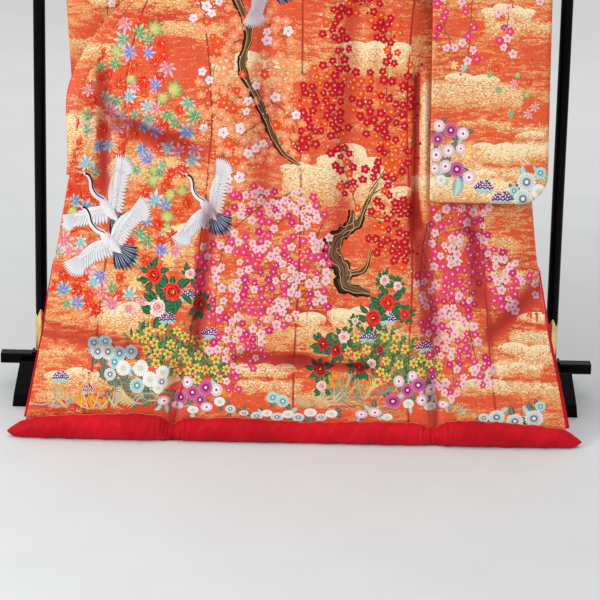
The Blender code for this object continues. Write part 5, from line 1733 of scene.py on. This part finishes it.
# which cloth each ground lies on, and which way the eye looks at it
grounds = {
    "body": ([("back", -1), ("back", 1), ("front", -1), ("front", 1), ("overlap", -1), ("overlap", 1)], 1),
    "sleeveRight": ([("sleeve", 1, "viewer")], 1), "sleeveLeft": ([("sleeve", -1, "viewer")], 1),
    "sleeveRightFront": ([("sleeve", 1, "far")], -1), "sleeveLeftFront": ([("sleeve", -1, "far")], -1),
    "shoulders": ([("front", -1), ("front", 1)], -1),
}
heights = np.linspace(cloth["hem"], poleHeight, 260)
seamLines = [follow(centreSeam, "out", heights)]
for side in names:
    seamLines.append(side * follow(fronts[side], "side", heights))
    seamLines.append(frontForm(side, seamShare(side, "okumi", heights), heights)[0])


# figures stay this clear of a seam, and end where the cloth turns away or jumps back; painted fold shade
# darkens their tints, more in green and blue than in red
laying = {"clear": 0.0006, "facing": -0.2, "jump": 0.012, "dark": 0.62, "darkGreen": 1.6, "darkBlue": 1.4}


def splitAtSeams(corners, faces):
    # a figure that crosses a seam is cut there, so that the seam's line stays open
    clear = laying["clear"]
    corners = list(corners)
    for line in seamLines:
        spots = np.array([corner[0] for corner in corners])
        off = spots.real - np.interp(spots.imag, heights, line)
        offs = off[np.array(faces)]
        free = (offs.min(axis=1) > clear) | (offs.max(axis=1) < -clear)
        kept = [face for face, ok in zip(faces, free) if ok]
        for face in (face for face, ok in zip(faces, free) if not ok):
            for way in (1, -1):
                ring = []
                for a, b in zip(face, face[1:] + face[:1]):
                    da, db = way * off[a] - clear, way * off[b] - clear
                    if da >= 0:
                        ring.append(a)
                    if da * db < 0:
                        t = da / (da - db)
                        (spot, tint, lift), (nextSpot, nextTint, nextLift) = corners[a], corners[b]
                        ring.append(len(corners))
                        corners.append((spot + (nextSpot - spot) * t, mix(tint, nextTint, t),
                                        lift + (nextLift - lift) * t))
                kept += [(ring[0], ring[k], ring[k + 1]) for k in range(1, len(ring) - 1)]
        faces = kept
    return corners, faces


laid = {}
for place, (keys, way) in grounds.items():
    spots, polygons = [], []
    for key in keys:
        mesh = pieces[key].data
        start = len(spots)
        spots += [v.co.copy() for v in mesh.vertices]
        polygons += [tuple(start + i for i in f.vertices) for f in mesh.polygons]
    cloths = BVHTree.FromPolygons(spots, polygons)
    look = Vector((0, way, 0))
    for (where, family), (corners, faces) in drawn.items():
        if where != place:
            continue
        shades = np.zeros(len(corners))
        if place == "body":
            corners, faces = splitAtSeams(corners, faces)
            flat = np.array([corner[0] for corner in corners])
            shades = foldShade(flat.real, flat.imag)
        landed = []
        for spot, _, lift in corners:
            hit, normal, _, _ = cloths.ray_cast(Vector((spot.real, -2.0 * way, spot.imag)), look)
            seen = hit is not None and normal.dot(look) < laying["facing"]
            landed.append(hit + normal * (cloth["wall"] / 2 + lift * 0.001) if seen else None)
        kept = laid.setdefault(family, ([], [], []))
        number = {}
        for face in faces:
            depths = [landed[i] and landed[i].y for i in face]
            if None in depths or max(depths) - min(depths) > laying["jump"]:
                continue
            for i in face:
                if i not in number:
                    number[i] = len(kept[0])
                    kept[0].append(landed[i])
                    # painted shade: each corner's tint is darkened as far as it lies in a fold's valley
                    dark = 1 - laying["dark"] * shades[i]
                    red, green, blue = corners[i][1]
                    kept[1].append((red * dark, green * dark ** laying["darkGreen"],
                                    blue * dark ** laying["darkBlue"], 1.0))
            ring = tuple(number[i] for i in face)
            kept[2].append(ring if way > 0 else ring[::-1])

for family, (points, tints, faces) in laid.items():
    if family == "cloudCrests":
        made = joinedUp(family, points, faces, (bodyBrocade,), garment)
        x, z = np.array([(p.x, p.z) for p in points]).T
        paint(made, "gilt", np.maximum([tint[0] for tint in tints], giltAt(x, z)))
        paint(made, "shade", foldShade(x, z))
    else:
        made = joinedUp(family, points, faces, (figures,), garment)
        colours = made.data.color_attributes.new("tint", "FLOAT_COLOR", "POINT")
        colours.data.foreach_set("color", np.array(tints, np.float32).ravel())
    settled(made, "brocade")
    print("  ", family, len(faces))
print("figures laid on the cloth:", sum(len(part[2]) for part in laid.values()), "faces")


# what each cloth was cut to: width and length in metres, and area
cutSizes = {
    "back": (0.375, 1.76, 0.59), "front": (0.290, 1.76, 0.42), "overlap": (0.165, 1.30, 0.18),
    "sleeve": (0.360, 1.080, None), "collar": (0.036, 1.25, None),
}
for key, piece in pieces.items():
    width, length, area = cutSizes[key[0]]


# floor, light and camera
studio = {
    "floorNear": (0.72, 0.755, 0.765), "floorFar": (0.99, 0.995, 1.0), "surround": 0.56, "key": 105.0,
    "fill": 20.0, "top": 34.0, "back": 22.0,
    "distance": 9.0, "pitch": 18.0, "roll": 1.15, "target": (0.0086, 0.0, 0.30), "frameWidth": 1.83,
}
floorMesh = bpy.data.meshes.new("studioFloor")
floorMesh.from_pydata([(-30, -30, 0), (30, -30, 0), (30, 30, 0), (-30, 30, 0)], [], [(0, 1, 2, 3)])
floor = bpy.data.objects.new("studioFloor", floorMesh)
scene.collection.objects.link(floor)
paper, tree, shader = newMaterial("studioPaper", 0.75)
mottle = mapped(tree, noiseOf(tree, (3.0, 3.0, 3.0), 3.0), 0.3, 0.7, 0.97, 1.0)
place = node(tree, "SeparateXYZ")
tree.links.new(node(tree, "TexCoord").outputs["Object"], place.inputs["Vector"])
# painted light: the paper is painted lighter from the stand towards the back, where the lamps light it less,
# and cooler near the stand against the cloth's red bounce light
backwards = mapped(tree, place.outputs["Y"], 0.2, 4.5)
paperWithPaintedLight = blended(tree, backwards, studio["floorNear"], studio["floorFar"])
feed(shader, "Base Color", blended(tree, 1.0, paperWithPaintedLight, mottle, "MULTIPLY"))
floorMesh.materials.append(paper)

world = bpy.data.worlds.new("studio")
scene.world = world
world.use_nodes = True
world.node_tree.nodes["Background"].inputs["Color"].default_value = (1.0, 0.995, 0.99, 1.0)
world.node_tree.nodes["Background"].inputs["Strength"].default_value = studio["surround"]


def softBox(name, spot, aim, size, power):
    light = bpy.data.lights.new(name, "AREA")
    light.shape = "RECTANGLE"
    light.size, light.size_y = size
    light.energy = power
    made = bpy.data.objects.new(name, light)
    made.location = spot
    made.rotation_euler = (Vector(aim) - Vector(spot)).to_track_quat("-Z", "Y").to_euler()
    scene.collection.objects.link(made)


softBox("keyLight", (-3.4, -2.8, 2.5), (0, 0, 0.7), (1.8, 1.8), studio["key"])
softBox("fillLight", (3.0, -3.6, 2.2), (0, 0, 0.7), (2.4, 2.0), studio["fill"])
softBox("topLight", (0.0, -0.6, 4.2), (0, 0, 0.6), (3.0, 2.4), studio["top"])
softBox("backLight", (0.0, 2.6, 4.0), (0, 3.2, 0.0), (6.0, 2.0), studio["back"])

lens = bpy.data.cameras.new("camera")
lens.sensor_width = 36.0
lens.lens = 36.0 * studio["distance"] / studio["frameWidth"]
lens.clip_end = 100.0
camera = bpy.data.objects.new("camera", lens)
pitch = radians(studio["pitch"])
target = Vector(studio["target"]) + Vector((0, postPlane, 0))
away = Vector((0, -cos(pitch), sin(pitch))) * studio["distance"]
aim = Matrix.Rotation(pi / 2 - pitch, 4, "X") @ Matrix.Rotation(radians(studio["roll"]), 4, "Z")
camera.matrix_world = Matrix.Translation(target + away) @ aim
scene.collection.objects.link(camera)
bpy.context.scene.camera = camera

bpy.context.view_layer.update()
